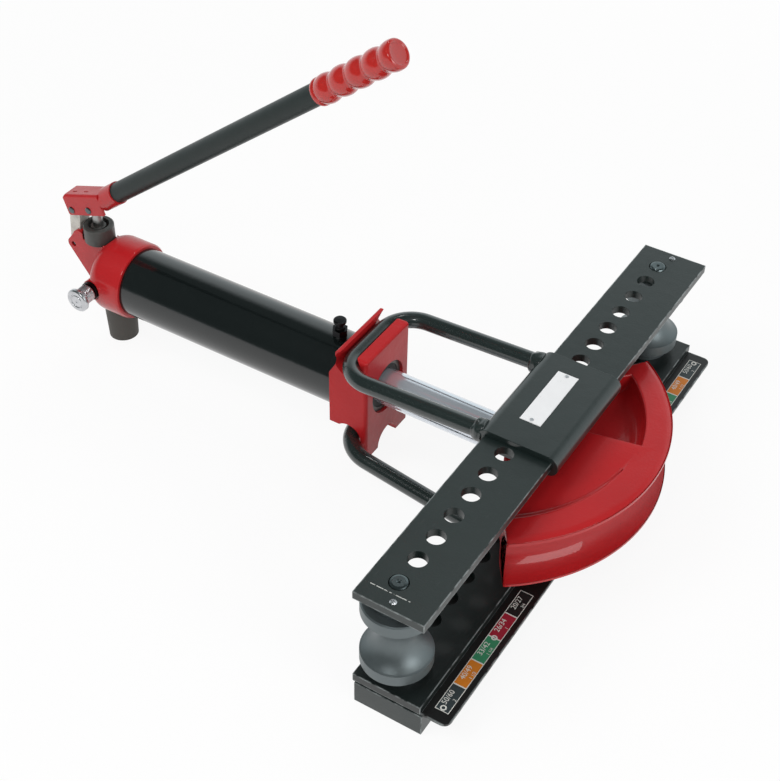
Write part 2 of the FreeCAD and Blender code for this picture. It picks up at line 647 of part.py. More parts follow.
def former():
    """The grooved shoe: a deep rim, a hub for the ram's spigot, a sloping field and a deep pocket."""
    body = new_body("former_casting")
    half = "(former_height / 2)"
    lip = "sqrt(pipe_radius ^ 2 - 1)"
    rim = "(former_radius - former_rim)"
    back = "(former_back - ram_seat)"
    section = sketch(body, "XZ_Plane")
    outline(section, [
        ("0", "-web_floor"), (rim + " - 6", "-web_floor"),
        (rim, "-" + half), ("former_radius - 3", "-" + half),
        ("former_radius", "-%s + 2" % half), ("former_radius", "-" + lip, "-pipe_radius"),
        ("former_radius + 1 - pipe_radius", "0", "-pipe_radius"), ("former_radius", lip),
        ("former_radius", half + " - 0.2 * lip_round", "lip_round"),
        ("former_radius - 0.6 * lip_round", half), ("0", half)])
    revolve(body, section, angle="2 * former_angle", middle=True)
    # The rear outline runs from the flat ends of the rim to the hub.
    trim = sketch(body, "XY_Plane", "-former_height")
    outline(trim, [(back, "-hub_width / 2"),
                   ("heel_radius * cos(former_angle)", "-heel_radius * sin(former_angle)"),
                   ("0", "-former_radius * 1.2"), ("-former_radius", "0"), ("0", "former_radius * 1.2"),
                   ("heel_radius * cos(former_angle)", "heel_radius * sin(former_angle)"),
                   (back, "hub_width / 2")])
    pocket(body, trim, "2 * former_height", back=True)
    hub = sketch(body, "XY_Plane", "-" + half)
    rectangle(hub, back, back + " + hub_length", "-hub_width / 2", "hub_width / 2")
    pad(body, hub, "former_height")
    field = sketch(body, "XZ_Plane")
    turn = "(pocket_start + pocket_end) / 2"
    field.AttachmentOffset = FreeCAD.Placement(Vector(), Rotation(Vector(0, 1, 0), value(turn)))
    bind(field, AttachmentOffset__Rotation__Angle=turn)
    outline(field, [("pocket_inner", "pocket_floor"),
                    (rim + " + 4 - pocket_round", "pocket_floor", "pocket_round"),
                    (rim + " + 4", "pocket_floor + pocket_round"), (rim + " + 4", half + " + 1"),
                    ("pocket_inner", half + " + 1")])
    revolve(body, field, angle="pocket_end - pocket_start", adds=False, middle=True)
    for side in ("", "-"):
        rib = sketch(body, "XY_Plane", "-%s + 6" % half)
        start = back + " + hub_length - 4"
        end = "(%s - 2)" % rim
        outline(rib, [(start, side + "(hub_width / 2 - 4 - rib_width)"),
                      (start, side + "(hub_width / 2 - 4)"),
                      (end + " * cos(rib_angle + 1.5)", side + end + " * sin(rib_angle + 1.5)"),
                      (end + " * cos(rib_angle - 1.5)", side + end + " * sin(rib_angle - 1.5)")])
        pad(body, rib, half + " - 4 - web_floor")
    bore = sketch(body, "YZ_Plane", back + " - 1")
    circle(bore, "0", "0", "spigot_diameter + 4 * running_gap")
    pocket(body, bore, "spigot_length + 3", back=True)
    place(body, "-former_back", "0", AXIS)
    slope = new_body("field_slope")
    side_view = sketch(slope, "YZ_Plane", "hub_length / 4")
    outline(side_view, [("0", half), ("0", half + " + 2"), ("-field_run", half + " + 2"),
                        ("-field_run", half + " - field_depth")])
    pad(slope, side_view, "former_radius")
    place(slope, "-former_back", "0", AXIS)
    bowl = cone("field_bowl", "2 * (%s - 1 - field_edge)" % rim,
                "2 * (%s - 1 + field_edge / field_depth)" % rim, "field_depth + 1", "z",
                "-former_back", "0", "%s + %s - field_depth" % (AXIS, half))
    return keep(cut("bending_former", body, common("former_field", slope, bowl)))


def roller(name, side):
    """A spool that the pipe bears on, with its bush and the pin it turns on."""
    body = new_body("roller_" + name)
    face = "(wing_spread / 2 - wing_gap)"
    half = "(roller_height / 2)"
    outer = "(roller_diameter / 2)"
    rise = "(roller_height / 2 - roller_rim - 1)"
    deep = "(%s - 2 - roller_waist / 2)" % outer
    curve = "((%s ^ 2 + %s ^ 2) / (2 * %s))" % (deep, rise, deep)
    bore = "(bush_diameter / 2 + fit_gap / 2)"
    section = sketch(body, "XZ_Plane")
    outline(section, [
        (bore, "-" + face), ("roller_hub / 2", "-" + face), ("roller_hub / 2", "-" + half),
        (outer + " - 1.5", "-" + half), (outer, "-%s + 1.5" % half), (outer, "-%s - 1" % rise),
        (outer + " - 2", "-" + rise, "-" + curve), (outer + " - 2", rise),
        (outer, rise + " + 1"), (outer, half + " - 1.5"), (outer + " - 1.5", half),
        ("roller_hub / 2", half), ("roller_hub / 2", face), (bore, face)])
    revolve(body, section)
    place(body, "0", "%d * %s" % (side, HOLE_FIRST), AXIS)
    keep(body)
    keep(tube("roller_bush_" + name, "bush_diameter", "pin_diameter + 0.4", "wing_spread - 2 * wing_gap",
              "z", "0", "%d * %s" % (side, HOLE_FIRST), WING_FLOOR + " + wing_thickness + wing_gap"))
    pin = new_body("roller_pin_" + name)
    length = "(wing_spread + 2 * wing_thickness + pin_proud)"
    profile = sketch(pin, "XZ_Plane")
    radius = "(pin_diameter / 2)"
    outline(profile, [("0", "0"), (radius + " - 1", "0"), (radius, "1"), (radius, length + " - 2.4"),
                      (radius + " - 1", length + " - 0.6"), (radius + " - 3", length),
                      ("pin_centre / 2", length), ("0", length + " - pin_centre / 3")])
    revolve(pin, profile)
    place(pin, "0", "%d * %s" % (side, HOLE_FIRST), WING_FLOOR)
    keep(pin)


def pump_head():
    """The casting at the rear: oil gallery, pump boss, release valve seat and the forked lug."""
    body = new_body("pump_head")
    rear = "(-head_front - head_length)"
    turned = sketch(body, "XZ_Plane")
    outline(turned, [
        ("-head_front", AXIS), (rear, AXIS), (rear, AXIS + " + head_radius - head_round", "-head_round"),
        (rear + " + head_round", AXIS + " + head_radius"),
        ("-head_front - 3", AXIS + " + head_radius"), ("-head_front", AXIS + " + head_radius - 2")])
    axis_line(turned, ("-head_front", AXIS), (rear, AXIS))
    revolve(body, turned, "Axis0")
    lug = sketch(body, "XZ_Plane")
    x = "-lug_pin_back"
    z = AXIS + " + lug_pin_rise"
    column = "-pump_back + lever_width - 4"
    outline(lug, [
        (column, AXIS + " - 16"), (x + " + 22", AXIS + " - 16"), (x + " - 8", z + " - 4", "-9"),
        (x + " - 6", z + " + 7"), (x + " + 2", z + " + 17.5", "-9"), (x + " + 13", z + " + 24"),
        (x + " + 21", z + " + 21"), (column, AXIS + " + boss_top + 2")])
    pad(body, lug, "lever_width", middle=True)
    valve_boss = sketch(body, "XZ_Plane")
    circle(valve_boss, "-valve_back", AXIS, "valve_collar + 2")
    pad(body, valve_boss, "valve_seat")
    foot_boss = sketch(body, "XY_Plane", "rear_foot_top")
    circle(foot_boss, "-rear_foot_back", "0", "rear_foot_diameter - 2")
    pad(body, foot_boss, "%s - rear_foot_top" % AXIS)
    spot = sketch(body, "XY_Plane", AXIS + " + boss_top")
    circle(spot, "-pump_back", "0", "nut_diameter + 4")
    pocket(body, spot, "40", back=True)
    fork = sketch(body, "XY_Plane", z + " - link_width / 2 - 3")
    rectangle(fork, x + " - 20", x + " + link_width / 2 + 3.5", "-link_thickness / 2 - side_play",
              "link_thickness / 2 + side_play")
    pocket(body, fork, "60", back=True)
    pin_hole = sketch(body, "XZ_Plane")
    circle(pin_hole, x, z, "lever_pin + 2 * pin_play")
    pocket(body, pin_hole, "lever_width + 2", middle=True)
    flat = sketch(body, "XZ_Plane", "valve_seat")
    circle(flat, "-valve_back", AXIS, "valve_collar + 4")
    pocket(body, flat, "20", back=True)
    gallery = sketch(body, "XZ_Plane", "valve_spindle / 2")
    circle(gallery, "-valve_back", AXIS, "valve_spindle + 2 * fit_gap")
    pocket(body, gallery, "valve_seat", back=True)
    for diameter, depth in (("tube_diameter + 2 * fit_gap", "socket_depth"),
                            ("gland_diameter + 2 * fit_gap", "socket_depth + 8"),
                            ("valve_poppet + 1", "socket_depth + 20"),
                            ("5", "pump_back - head_front")):
        seat = sketch(body, "YZ_Plane", "-head_front + 1")
        circle(seat, "0", AXIS, diameter)
        pocket(body, seat, depth + " + 1")
    for diameter, depth in (("nut_spigot + 2 * fit_gap", "nut_thread + seal_height + 2 * fit_gap"),
                            ("plunger_diameter + 4 * running_gap", "37"),
                            ("valve_poppet + 0.8", "47")):
        bore = sketch(body, "XY_Plane", AXIS + " + boss_top + 1")
        circle(bore, "-pump_back", "0", diameter)
        pocket(body, bore, depth + " + 1")
    stud_hole = sketch(body, "XY_Plane", "rear_foot_top - 1")
    circle(stud_hole, "-rear_foot_back", "0", "foot_stud + 2 * fit_gap")
    pocket(body, stud_hole, "16", back=True)
    return keep(body)


def pump_parts():
    """The gland nut, seal, plunger, valve poppets, release valve and rear foot of the pump."""
    top = AXIS + " + boss_top"
    nut = new_body("pump_gland_nut")
    section = sketch(nut, "XZ_Plane")
    bore = "(plunger_diameter / 2 + 3 * running_gap)"
    radius = "(nut_diameter / 2)"
    outline(section, [
        (bore, "-nut_thread"), ("nut_spigot / 2", "-nut_thread"), ("nut_spigot / 2", "0"), (radius, "0"),
        (radius, "nut_height - 1.5"), (radius + " - 1.5", "nut_height"), (radius + " - 6", "nut_height"),
        (radius + " - 7.5", "nut_height - nut_recess"), (bore + " + 3", "nut_height - nut_recess"),
        (bore + " + 3", "nut_height - 2"), (bore, "nut_height - 2")])
    revolve(nut, section)
    place(nut, "-pump_back", "0", top)
    keep(nut)
    keep(tube("plunger_seal", "nut_spigot - fit_gap", "plunger_diameter + 3 * running_gap",
              "seal_height", "z", "-pump_back", "0", top + " - nut_thread - seal_height - fit_gap"))
    plunger = new_body("pump_plunger")
    shank = sketch(plunger, "XY_Plane", AXIS + " + boss_top / 2 + 2.5")
    circle(shank, "-pump_back", "0", "plunger_diameter")
    pad(plunger, shank, LINK_PIN_Z + " + lever_pitch * sin(lever_tilt) - boss_top / 2 - 7.5")
    eye = sketch(plunger, "XZ_Plane")
    eye_z = "%s + %s + lever_pitch * sin(lever_tilt)" % (AXIS, LINK_PIN_Z)
    circle(eye, "-pump_back", eye_z, "plunger_eye")
    pad(plunger, eye, "link_thickness", middle=True)
    hole = sketch(plunger, "XZ_Plane")
    circle(hole, "-pump_back", eye_z, "lever_pin + 2 * eye_play")
    pocket(plunger, hole, "link_thickness + 2", middle=True)
    keep(plunger)
    valves = (("suction_valve", "z", "-pump_back", AXIS + " + boss_top - 46"),
              ("delivery_valve", "x", "-head_front - socket_depth - 19", AXIS))
    for name, along, x, z in valves:
        guide = rod(name + "_guide", "valve_poppet", "4", along, x, "0", z)
        ahead = {"x": (x + " + 4", "0", z), "z": (x, "0", z + " + 4")}[along]
        seat = cone(name + "_cone", "valve_poppet", "3", "4", along, *ahead)
        keep(join(name, guide, seat))
    collar_start = "(-valve_seat - collar_width)"
    keep(tube("release_valve_collar", "valve_collar", "valve_spindle + 2 * fit_gap",
              "collar_width - fit_gap / 4", "y", "-valve_back", collar_start, AXIS))
    keep(rod("release_valve_spindle", "valve_spindle", "valve_seat + 1", "y",
             "-valve_back", "(-valve_seat - knob_bore + fit_gap)", AXIS))
    knob = new_body("release_valve_knob")
    profile = sketch(knob, "XZ_Plane")
    hole = "(valve_spindle / 2 + fit_gap / 4)"
    outline(profile, [
        ("0", "knob_reach"), ("knob_disc / 2 - 1.5", "knob_reach"),
        ("knob_disc / 2", "knob_reach - 1.5"), ("knob_disc / 2", "knob_reach - knob_disc_width + 1.5"),
        ("knob_disc / 2 - 1.5", "knob_reach - knob_disc_width"),
        ("knob_body / 2", "knob_reach - knob_disc_width - 1"), ("knob_body / 2", "collar_width + 2"),
        ("knob_body / 2 - 1", "collar_width + 0.5"), (hole, "collar_width + 0.5"),
        (hole, "knob_bore"), ("0", "knob_bore")])
    revolve(knob, profile)
    knob.Placement = FreeCAD.Placement(Vector(), Rotation(Vector(1, 0, 0), 90))
    place(knob, "-valve_back", "-valve_seat", AXIS)
    keep(knob)
    foot = cone("rear_foot_body", "rear_foot_base", "rear_foot_diameter", "rear_foot_top", "z",
                "-rear_foot_back")
    hollow = rod("rear_foot_hole", "foot_stud + fit_gap", "20", "z", "-rear_foot_back", "0",
                 "rear_foot_top - 19")
    keep(cut("rear_foot", foot, hollow))
    keep(rod("rear_foot_stud", "foot_stud", "32", "z", "-rear_foot_back", "0", "rear_foot_top - 18"))


def vent_parts():
    """The filler boss on the reservoir tube and its vent screw."""
    height = "(tube_diameter / 2)"
    shell = rod("vent_boss_outside", "vent_diameter", height + " + vent_rise", "z", "-vent_back", "0", AXIS)
    under = rod("vent_boss_under", "tube_diameter + fit_gap", "4 * vent_diameter", "x",
                "-vent_back - 2 * vent_diameter", "0", AXIS)
    thread = rod("vent_boss_thread", "vent_diameter - 8", "tube_diameter", "z", "-vent_back", "0", AXIS)
    keep(cut("vent_boss", shell, under, thread))
    screw = new_body("vent_screw")
    hexagonal = sketch(screw, "XY_Plane", "vent_rise + 0.3")
    hexagon(hexagonal, "0", "0", "vent_diameter")
    pad(screw, hexagonal, "vent_nut")
    depth = "((tube_diameter - gland_diameter) / 2 - 3)"
    profile = sketch(screw, "XZ_Plane")
    outline(profile, [
        ("0", "-" + depth), ("vent_diameter / 2 - 4.3", "-" + depth),
        ("vent_diameter / 2 - 4.3", "vent_rise + 0.5"), ("vent_neck / 2 + 1.5", "vent_rise + 0.5"),
        ("vent_neck / 2 + 1.5", "vent_reach - 10.8"), ("vent_neck / 2", "vent_reach - 9.8"),
        ("vent_neck / 2", "vent_reach - 7.3"), ("vent_diameter / 2 - 1.4", "vent_reach - 5.8"),
        ("vent_diameter / 2 - 0.7", "vent_reach - 4.3"), ("vent_diameter / 2 - 0.7", "vent_reach - 1.8"),
        ("vent_diameter / 2 - 2", "vent_reach - 0.5"), ("0", "vent_reach")])
    revolve(screw, profile)
    place(screw, "-vent_back", "0", "%s + %s" % (AXIS, height))
    keep(screw)


def lever_place(body):
    """Put a body in the lever block's frame: origin on the link pin, X along the block."""
    body.Placement = FreeCAD.Placement(Vector(), Rotation(Vector(0, -1, 0), 1))
    bind(body, Placement__Rotation__Angle="lever_tilt")
    return place(body, LINK_PIN_X, "0", "%s + %s" % (AXIS, LINK_PIN_Z))


def lever_parts():
    """The bent sheet block, its two pins, the handle socket, the handle and its grip."""
    body = new_body("lever_block")
    half = "(lever_width / 2)"
    section = sketch(body, "YZ_Plane", "-lever_tail")
    outline(section, [
        ("-" + half, "-lever_drop"), ("-%s + lever_wall" % half, "-lever_drop"),
        ("-%s + lever_wall" % half, "lever_rise - lever_wall"),
        (half + " - lever_wall", "lever_rise - lever_wall"),
        (half + " - lever_wall", "-lever_drop"), (half, "-lever_drop"), (half, "lever_rise"),
        ("-" + half, "lever_rise")])
    pad(body, section, "lever_tail + lever_front")
    side, roof, tail = value(half), value("lever_rise"), value("-lever_tail")
    soften(body, "lever_wall", lambda edge: at_all(edge, y=side, z=roof) or at_all(edge, y=-side, z=roof))
    nose = sketch(body, "XZ_Plane")
    outline(nose, [("-lever_tail - 1", "-lever_drop - 1"), ("-lever_tail + 3", "-lever_drop - 1"),
                   ("-lever_tail - 1", "-lever_drop + 3")])
    outline(nose, [("-lever_tail - 1", "lever_rise - 5"), ("-lever_tail + 4", "lever_rise + 1"),
                   ("-lever_tail - 1", "lever_rise + 1")])
    pocket(body, nose, "lever_width + 2", middle=True)
    pins = sketch(body, "XZ_Plane")
    circle(pins, "0", "0", "lever_pin + 0.1")
    circle(pins, "lever_pitch", "0", "lever_pin + 0.1")
    pocket(body, pins, "lever_width + 2", middle=True)
    slots = sketch(body, "XY_Plane", "lever_rise - lever_wall - 1")
    for start in ("4", "24"):
        rectangle(slots, start, start + " + 7", "-5", "-3")
    pocket(body, slots, "lever_wall + 2", back=True)
    keep(lever_place(body))
    for name, place_u in (("lever_link_pin", "0"), ("lever_plunger_pin", "lever_pitch")):
        pin = new_body(name)
        profile = sketch(pin, "XY_Plane")
        radius = "(lever_pin / 2)"
        outline(profile, [
            ("0", "-%s - 1.6" % half), (radius, "-%s - 1.6" % half), (radius + " + 1", "-%s - 0.8" % half),
            (radius + " + 1", "-%s - 0.1" % half), (radius, "-%s - 0.1" % half),
            (radius, half + " + 0.1"), (radius + " + 1", half + " + 0.1"),
            (radius + " + 1", half + " + 0.8"), (radius, half + " + 1.6"), ("0", half + " + 1.6")])
        revolve(pin, profile)
        lever_place(pin)
        place(pin, "%s + %s * cos(lever_tilt)" % (LINK_PIN_X, place_u), "0",
              "%s + %s + %s * sin(lever_tilt)" % (AXIS, LINK_PIN_Z, place_u))
        keep(pin)
    handle_parts()


def along_handle(distance):
    """Expressions for a place on the handle's axis, from its foot."""
    return ("-handle_back + (%s) * cos(handle_tilt)" % distance, "0",
            "%s + handle_rise + (%s) * sin(handle_tilt)" % (AXIS, distance))


def handle_rod(label, diameter, start, length):
    item = rod(label, diameter, length, "x", *along_handle(start))
    item.Placement = FreeCAD.Placement(item.Placement.Base, Rotation(Vector(0, 1, 0), 1))
    return bind(item, Placement__Rotation__Angle="90 - handle_tilt")


def handle_parts():
    """The socket welded to the block's front end, the handle tube and the ribbed grip."""
    outside = handle_rod("socket_outside", "socket_diameter", "-40", "40 + socket_end")
    behind = doc.addObject("Part::Box", "socket_trim")
    behind.Placement = FreeCAD.Placement(Vector(), Rotation(Vector(0, -1, 0), 1))
    bind(behind, Length="80", Width="socket_diameter + 20", Height="160",
         Placement__Rotation__Angle="lever_tilt")
    reach = "(lever_front - 80)"
    place(behind, "%s + %s * cos(lever_tilt) + 80 * sin(lever_tilt)" % (LINK_PIN_X, reach),
          "-socket_diameter / 2 - 10",
          "%s + %s + %s * sin(lever_tilt) - 80 * cos(lever_tilt)" % (AXIS, LINK_PIN_Z, reach))
    inside = "handle_diameter - 2 * handle_wall"
    plug = handle_rod("socket_spigot", inside + " - fit_gap", "socket_end - 2", "socket_plug + 2")
    keep(join("lever_socket", cut("socket_collar", outside, behind), plug))
    wall = handle_rod("handle_outside", "handle_diameter", "socket_end + fit_gap",
                      "handle_length - socket_end - grip_end - 2 * fit_gap")
    hollow = handle_rod("handle_hollow", inside, "-15", "handle_length + 20")
    keep(cut("lever_tube", wall, hollow))
    grip = new_body("lever_grip")
    profile = sketch(grip, "XZ_Plane")
    outer, valley = "(grip_diameter / 2)", "(grip_valley / 2)"
    swell = "(%s - %s)" % (outer, valley)
    bulge = "((grip_pitch ^ 2 / 4 + %s ^ 2) / 2 / %s)" % (swell, swell)
    bore = "(handle_diameter / 2 + fit_gap / 2)"
    corners = [(bore, "0"), (outer + " - 1.5", "0", bulge)]
    corners += [(valley, "(grip_mouth + %d * grip_pitch)" % number, bulge)
                for number in range(int(value("grip_bulges")))]
    last = "(grip_mouth + grip_bulges * grip_pitch)"
    corners += [(valley, last), (outer + " - 0.8", last + " + 0.2 * grip_pitch"),
                (outer, last + " + 0.5 * grip_pitch"), (outer + " - 0.6", "grip_length - 2"),
                (outer + " - 2.5", "grip_length"), ("0", "grip_length"), ("0", "grip_length - grip_end"),
                (bore, "grip_length - grip_end")]
    outline(profile, corners)
    revolve(grip, profile)
    grip.Placement = FreeCAD.Placement(Vector(), Rotation(Vector(0, 1, 0), 1))
    bind(grip, Placement__Rotation__Angle="90 - handle_tilt")
    place(grip, *along_handle("handle_length - grip_length"))
    keep(grip)


def link_parts():
    """The forged link between the lug and the lever, and the pin in the lug."""
    body = new_body("link")
    shank = sketch(body, "XZ_Plane")
    rectangle(shank, "-link_width / 2", "link_width / 2", "0", "link_length")
    pad(body, shank, "link_thickness", middle=True)
    for height in ("0", "link_length"):
        end = sketch(body, "XZ_Plane")
        circle(end, "0", height, "link_width")
        pad(body, end, "link_thickness", middle=True)
    holes = sketch(body, "XZ_Plane")
    for height in ("0", "link_length"):
        circle(holes, "0", height, "lever_pin + 2 * pin_play")
    pocket(body, holes, "link_thickness + 2", middle=True)
    body.Placement = FreeCAD.Placement(Vector(), Rotation(Vector(0, 1, 0), 1))
    bind(body, Placement__Rotation__Angle="link_lean")
    place(body, "-lug_pin_back", "0", AXIS + " + lug_pin_rise")
    keep(body)
    keep(rod("lug_pin", "lever_pin", "lever_width - 4", "y", "-lug_pin_back",
             "(-lever_width / 2 + 2)", AXIS + " + lug_pin_rise"))


def trim_parts():
    """The blank name plate on the upper sleeve, its rivets and the screws at the wing's ends."""
    top = "(%s + wing_spread / 2 + wing_thickness + sleeve_wall)" % AXIS
    left = "(wing_centre - name_plate_width / 2 - 5)"
    low = "(-name_plate_length / 2 + 5)"
    keep(block("name_plate", "name_plate_width", "name_plate_length", "0.8", left, low, top))
    rivets = [rod("rivet_%d" % number, "rivet_diameter", "1", "z", "wing_centre - 5",
                  "%s + %s" % (low, step), top + " + 0.8")
              for number, step in enumerate(("4", "name_plate_length - 4"), 1)]
    keep(join("name_plate_rivets", *rivets))
    screws = []
    for number, side in enumerate((-1, 1), 1):
        screw = new_body("end_screw_%d" % number)
        profile = sketch(screw, "XZ_Plane")
        radius = "(screw_diameter / 2)"
        outline(profile, [("0", "0"), (radius, "0"), (radius, "0.6"), (radius + " - 1.2", "1.7"),
                          ("0", "1.9")])
        revolve(screw, profile)
        for long, short in (("2", "0.5"), ("0.5", "2")):
            cross = sketch(screw, "XY_Plane", "1")
            rectangle(cross, "-" + long, long, "-" + short, short)
            pocket(screw, cross, "2", back=True)
        place(screw, "wing_centre", "%d * (wing_length / 2 - screw_inset)" % side, top + " - sleeve_wall")
        screws.append(screw)
    keep(join("wing_end_screws", *screws))


foot_channel()
scale_plate()
wing("lower_wing", WING_FLOOR)
wing("upper_wing", "(%s + wing_spread / 2)" % AXIS)
sleeve("lower_sleeve", "(%s - %s)" % (AXIS, WING_OFFSET))
sleeve("upper_sleeve", "(%s + %s)" % (AXIS, WING_OFFSET))
hoop("lower_hoop", -1, "(wing_centre + foot_shift - foot_width / 2 - bar_diameter / 12)",
     "(%s + sleeve_wall + lower_hoop_gap + bar_diameter / 2 + wing_thickness / 2)" % WING_OFFSET)
hoop("upper_hoop", 1, "(wing_centre - wing_width / 2 - sleeve_wall)", WING_OFFSET)
bracket()
cylinder_parts()
ram_parts()
former()
roller("near", -1)
roller("far", 1)
pump_head()
pump_parts()
vent_parts()
lever_parts()
link_parts()
trim_parts()

doc.recompute()
for item in doc.Objects:
    if "Invalid" in item.State or "Error" in item.State:
        raise RuntimeError("%s failed: %s" % (item.Label, item.State))
for item in nodes:
    if item.Shape.isNull() or not item.Shape.isValid() or not item.Shape.Solids:
        raise RuntimeError("%s has no valid solid" % item.Label)
labels = [item.Label for item in nodes]
if len(set(labels)) != len(labels):
    raise RuntimeError("two pieces share a name")
os.makedirs("parts", exist_ok=True)
for item in nodes:
    item.Shape.exportStep("parts/%s.step" % item.Label)
    print("%-24s %d solid(s) %12.1f mm3" % (item.Label, len(item.Shape.Solids), item.Shape.Volume))
print("%d nodes" % len(nodes))
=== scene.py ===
import json
import math

import bpy
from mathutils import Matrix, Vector

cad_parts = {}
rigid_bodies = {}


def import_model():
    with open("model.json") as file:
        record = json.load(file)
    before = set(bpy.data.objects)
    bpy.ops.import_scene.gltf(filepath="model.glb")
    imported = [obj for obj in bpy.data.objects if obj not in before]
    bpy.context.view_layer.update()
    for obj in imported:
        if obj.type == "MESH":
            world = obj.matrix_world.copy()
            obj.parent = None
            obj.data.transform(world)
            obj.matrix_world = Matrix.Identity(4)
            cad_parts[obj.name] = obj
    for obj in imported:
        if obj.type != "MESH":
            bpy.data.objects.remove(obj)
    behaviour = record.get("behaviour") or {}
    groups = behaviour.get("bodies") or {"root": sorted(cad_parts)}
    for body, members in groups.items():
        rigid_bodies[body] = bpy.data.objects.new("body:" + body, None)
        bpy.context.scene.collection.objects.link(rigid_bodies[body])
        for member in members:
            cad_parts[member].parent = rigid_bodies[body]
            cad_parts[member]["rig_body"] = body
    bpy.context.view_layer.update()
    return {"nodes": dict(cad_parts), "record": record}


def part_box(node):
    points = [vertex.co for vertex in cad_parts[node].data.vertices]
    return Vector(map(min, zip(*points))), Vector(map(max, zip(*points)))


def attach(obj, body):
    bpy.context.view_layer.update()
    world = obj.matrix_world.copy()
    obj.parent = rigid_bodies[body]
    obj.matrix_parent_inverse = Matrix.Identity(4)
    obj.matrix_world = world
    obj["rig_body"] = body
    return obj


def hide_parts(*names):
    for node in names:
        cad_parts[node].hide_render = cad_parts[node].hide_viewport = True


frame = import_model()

# Looks of a hydraulic pipe bender, in metres. +X runs along the ram, +Y along the wings and +Z up.

NODES = frame["nodes"]
MM = 0.001
ONE_POINT = 1e-6     # points nearer to each other than this are merged
ON_CORNER = 1e-5     # how far a vertex may lie from the corner that it is looked up by
SCRIBE_INSET = 18.5 * MM
# Width of the lighter edges on bars and on the scale plate: partly wear, partly a painted highlight.
EDGE_WEAR_AND_HIGHLIGHT = 1.0 * MM

# Colours, linear.
ENAMEL_RED = (0.46, 0.014, 0.017)
GRIP_RED = (0.46, 0.018, 0.014)
TUBE_BLACK = (0.004, 0.006, 0.006)
FRAME_GREY = (0.0085, 0.0145, 0.0137)
PLATE_BLACK = (0.005, 0.005, 0.005)
GUNMETAL = (0.14, 0.163, 0.168)
PIN_STEEL = (0.15, 0.18, 0.185)
GLAND_STEEL = (0.085, 0.085, 0.08)
LINK_PLATING = (0.60, 0.58, 0.53)
BLACK_OXIDE = (0.035, 0.035, 0.037)
MACHINED = (0.46, 0.46, 0.45)
ZINC = (0.66, 0.67, 0.69)
CHROME = (0.74, 0.79, 0.86)
BRONZE = (0.42, 0.25, 0.10)
RUBBER = (0.020, 0.020, 0.020)
FOOT_BROWN = (0.058, 0.054, 0.048)
PLATE_WHITE = (0.84, 0.85, 0.86)
# Bare metal, for rubbed marks and for the painted highlight along edges.
BARE_METAL_AND_HIGHLIGHT = (0.33, 0.36, 0.36)
RUST = (0.16, 0.07, 0.035)
DUST = (0.30, 0.29, 0.27)
CHALK_WHITE = (0.60, 0.61, 0.58)
LABEL_COLOURS = {
    "charcoal": (0.030, 0.042, 0.046), "orange": (0.62, 0.19, 0.012), "green": (0.035, 0.23, 0.11),
    "crimson": (0.32, 0.012, 0.030), "black": (0.012, 0.012, 0.012),
}


# Selection and mesh tools

def only(piece):
    """Select one object and make it active."""
    bpy.ops.object.select_all(action="DESELECT")
    piece.select_set(True)
    bpy.context.view_layer.objects.active = piece
    return piece


def fresh(name):
    """Name the object that an operator has just added."""
    piece = bpy.context.view_layer.objects.active
    piece.name = name
    piece.data.name = name
    return only(piece)


def start():
    bpy.ops.object.select_all(action="DESELECT")


def pick(piece, kind, test):
    """In edit mode, select the vertices, edges or faces for which the test holds."""
    bpy.ops.mesh.select_mode(type=kind)
    bpy.ops.mesh.select_all(action="DESELECT")
    bpy.ops.object.mode_set(mode="OBJECT")
    parts = {"VERT": piece.data.vertices, "EDGE": piece.data.edges, "FACE": piece.data.polygons}[kind]
    for part in parts:
        part.select = test(part)
    bpy.ops.object.mode_set(mode="EDIT")


def finish_mesh(piece, smooth):
    """Weld doubles, turn the faces outwards, put the place into the mesh and smooth up to an angle."""
    only(piece)
    bpy.ops.object.transform_apply(location=True, rotation=True, scale=True)
    bpy.ops.object.mode_set(mode="EDIT")
    bpy.ops.mesh.select_all(action="SELECT")
    bpy.ops.mesh.remove_doubles(threshold=ONE_POINT)
    bpy.ops.mesh.normals_make_consistent(inside=False)
    bpy.ops.object.mode_set(mode="OBJECT")
    bpy.ops.object.shade_smooth_by_angle(angle=math.radians(smooth))
    return piece


def apply_modifiers(piece):
    only(piece)
    for modifier in list(piece.modifiers):
        bpy.ops.object.modifier_apply(modifier=modifier.name)
    return piece


def settle(piece, body, slot, material, *nodes):
    """Give a finished piece its material and its body, and hide the nodes that it stands for."""
    piece.data.materials.clear()
    piece.data.materials.append(material)
    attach(piece, body)
    if nodes:
        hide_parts(*nodes)
    return piece


def lathe(name, corners, steps, closed=False, rounds=()):
    """Draw an outline of (radius, height) corners, round some of them and spin it about Z."""
    start()
    bpy.ops.mesh.primitive_plane_add(size=MM, location=(0, 0, 0))
    piece = fresh(name)
    bpy.ops.object.mode_set(mode="EDIT")
    bpy.ops.mesh.select_all(action="SELECT")
    bpy.ops.mesh.merge(type="CENTER")
    bpy.ops.transform.translate(value=(corners[0][0], 0, corners[0][1]))
    for before, after in zip(corners, corners[1:]):
        step = (after[0] - before[0], 0, after[1] - before[1])
        bpy.ops.mesh.extrude_region_move(TRANSFORM_OT_translate={"value": step})
    if closed:
        pick(piece, "VERT", lambda vertex: near_one(vertex.co, (corners[0], corners[-1])))
        bpy.ops.mesh.edge_face_add()
    for radius, segments, points in rounds:
        pick(piece, "VERT", lambda vertex: near_one(vertex.co, points))
        bpy.ops.mesh.bevel(affect="VERTICES", offset=radius, segments=segments, clamp_overlap=False)
    bpy.ops.mesh.select_all(action="SELECT")
    bpy.ops.mesh.spin(steps=steps, angle=math.tau, center=(0, 0, 0), axis=(0, 0, 1))
    bpy.ops.mesh.select_all(action="SELECT")
    bpy.ops.mesh.remove_doubles(threshold=ONE_POINT)
    bpy.ops.mesh.normals_make_consistent(inside=False)
    bpy.ops.object.mode_set(mode="OBJECT")
    return piece


def near_one(place, points):
    """Whether a place on the outline's plane is one of the given corners."""
    return any(math.hypot(place.x - radius, place.z - height) < ON_CORNER for radius, height in points)


# Shader groups

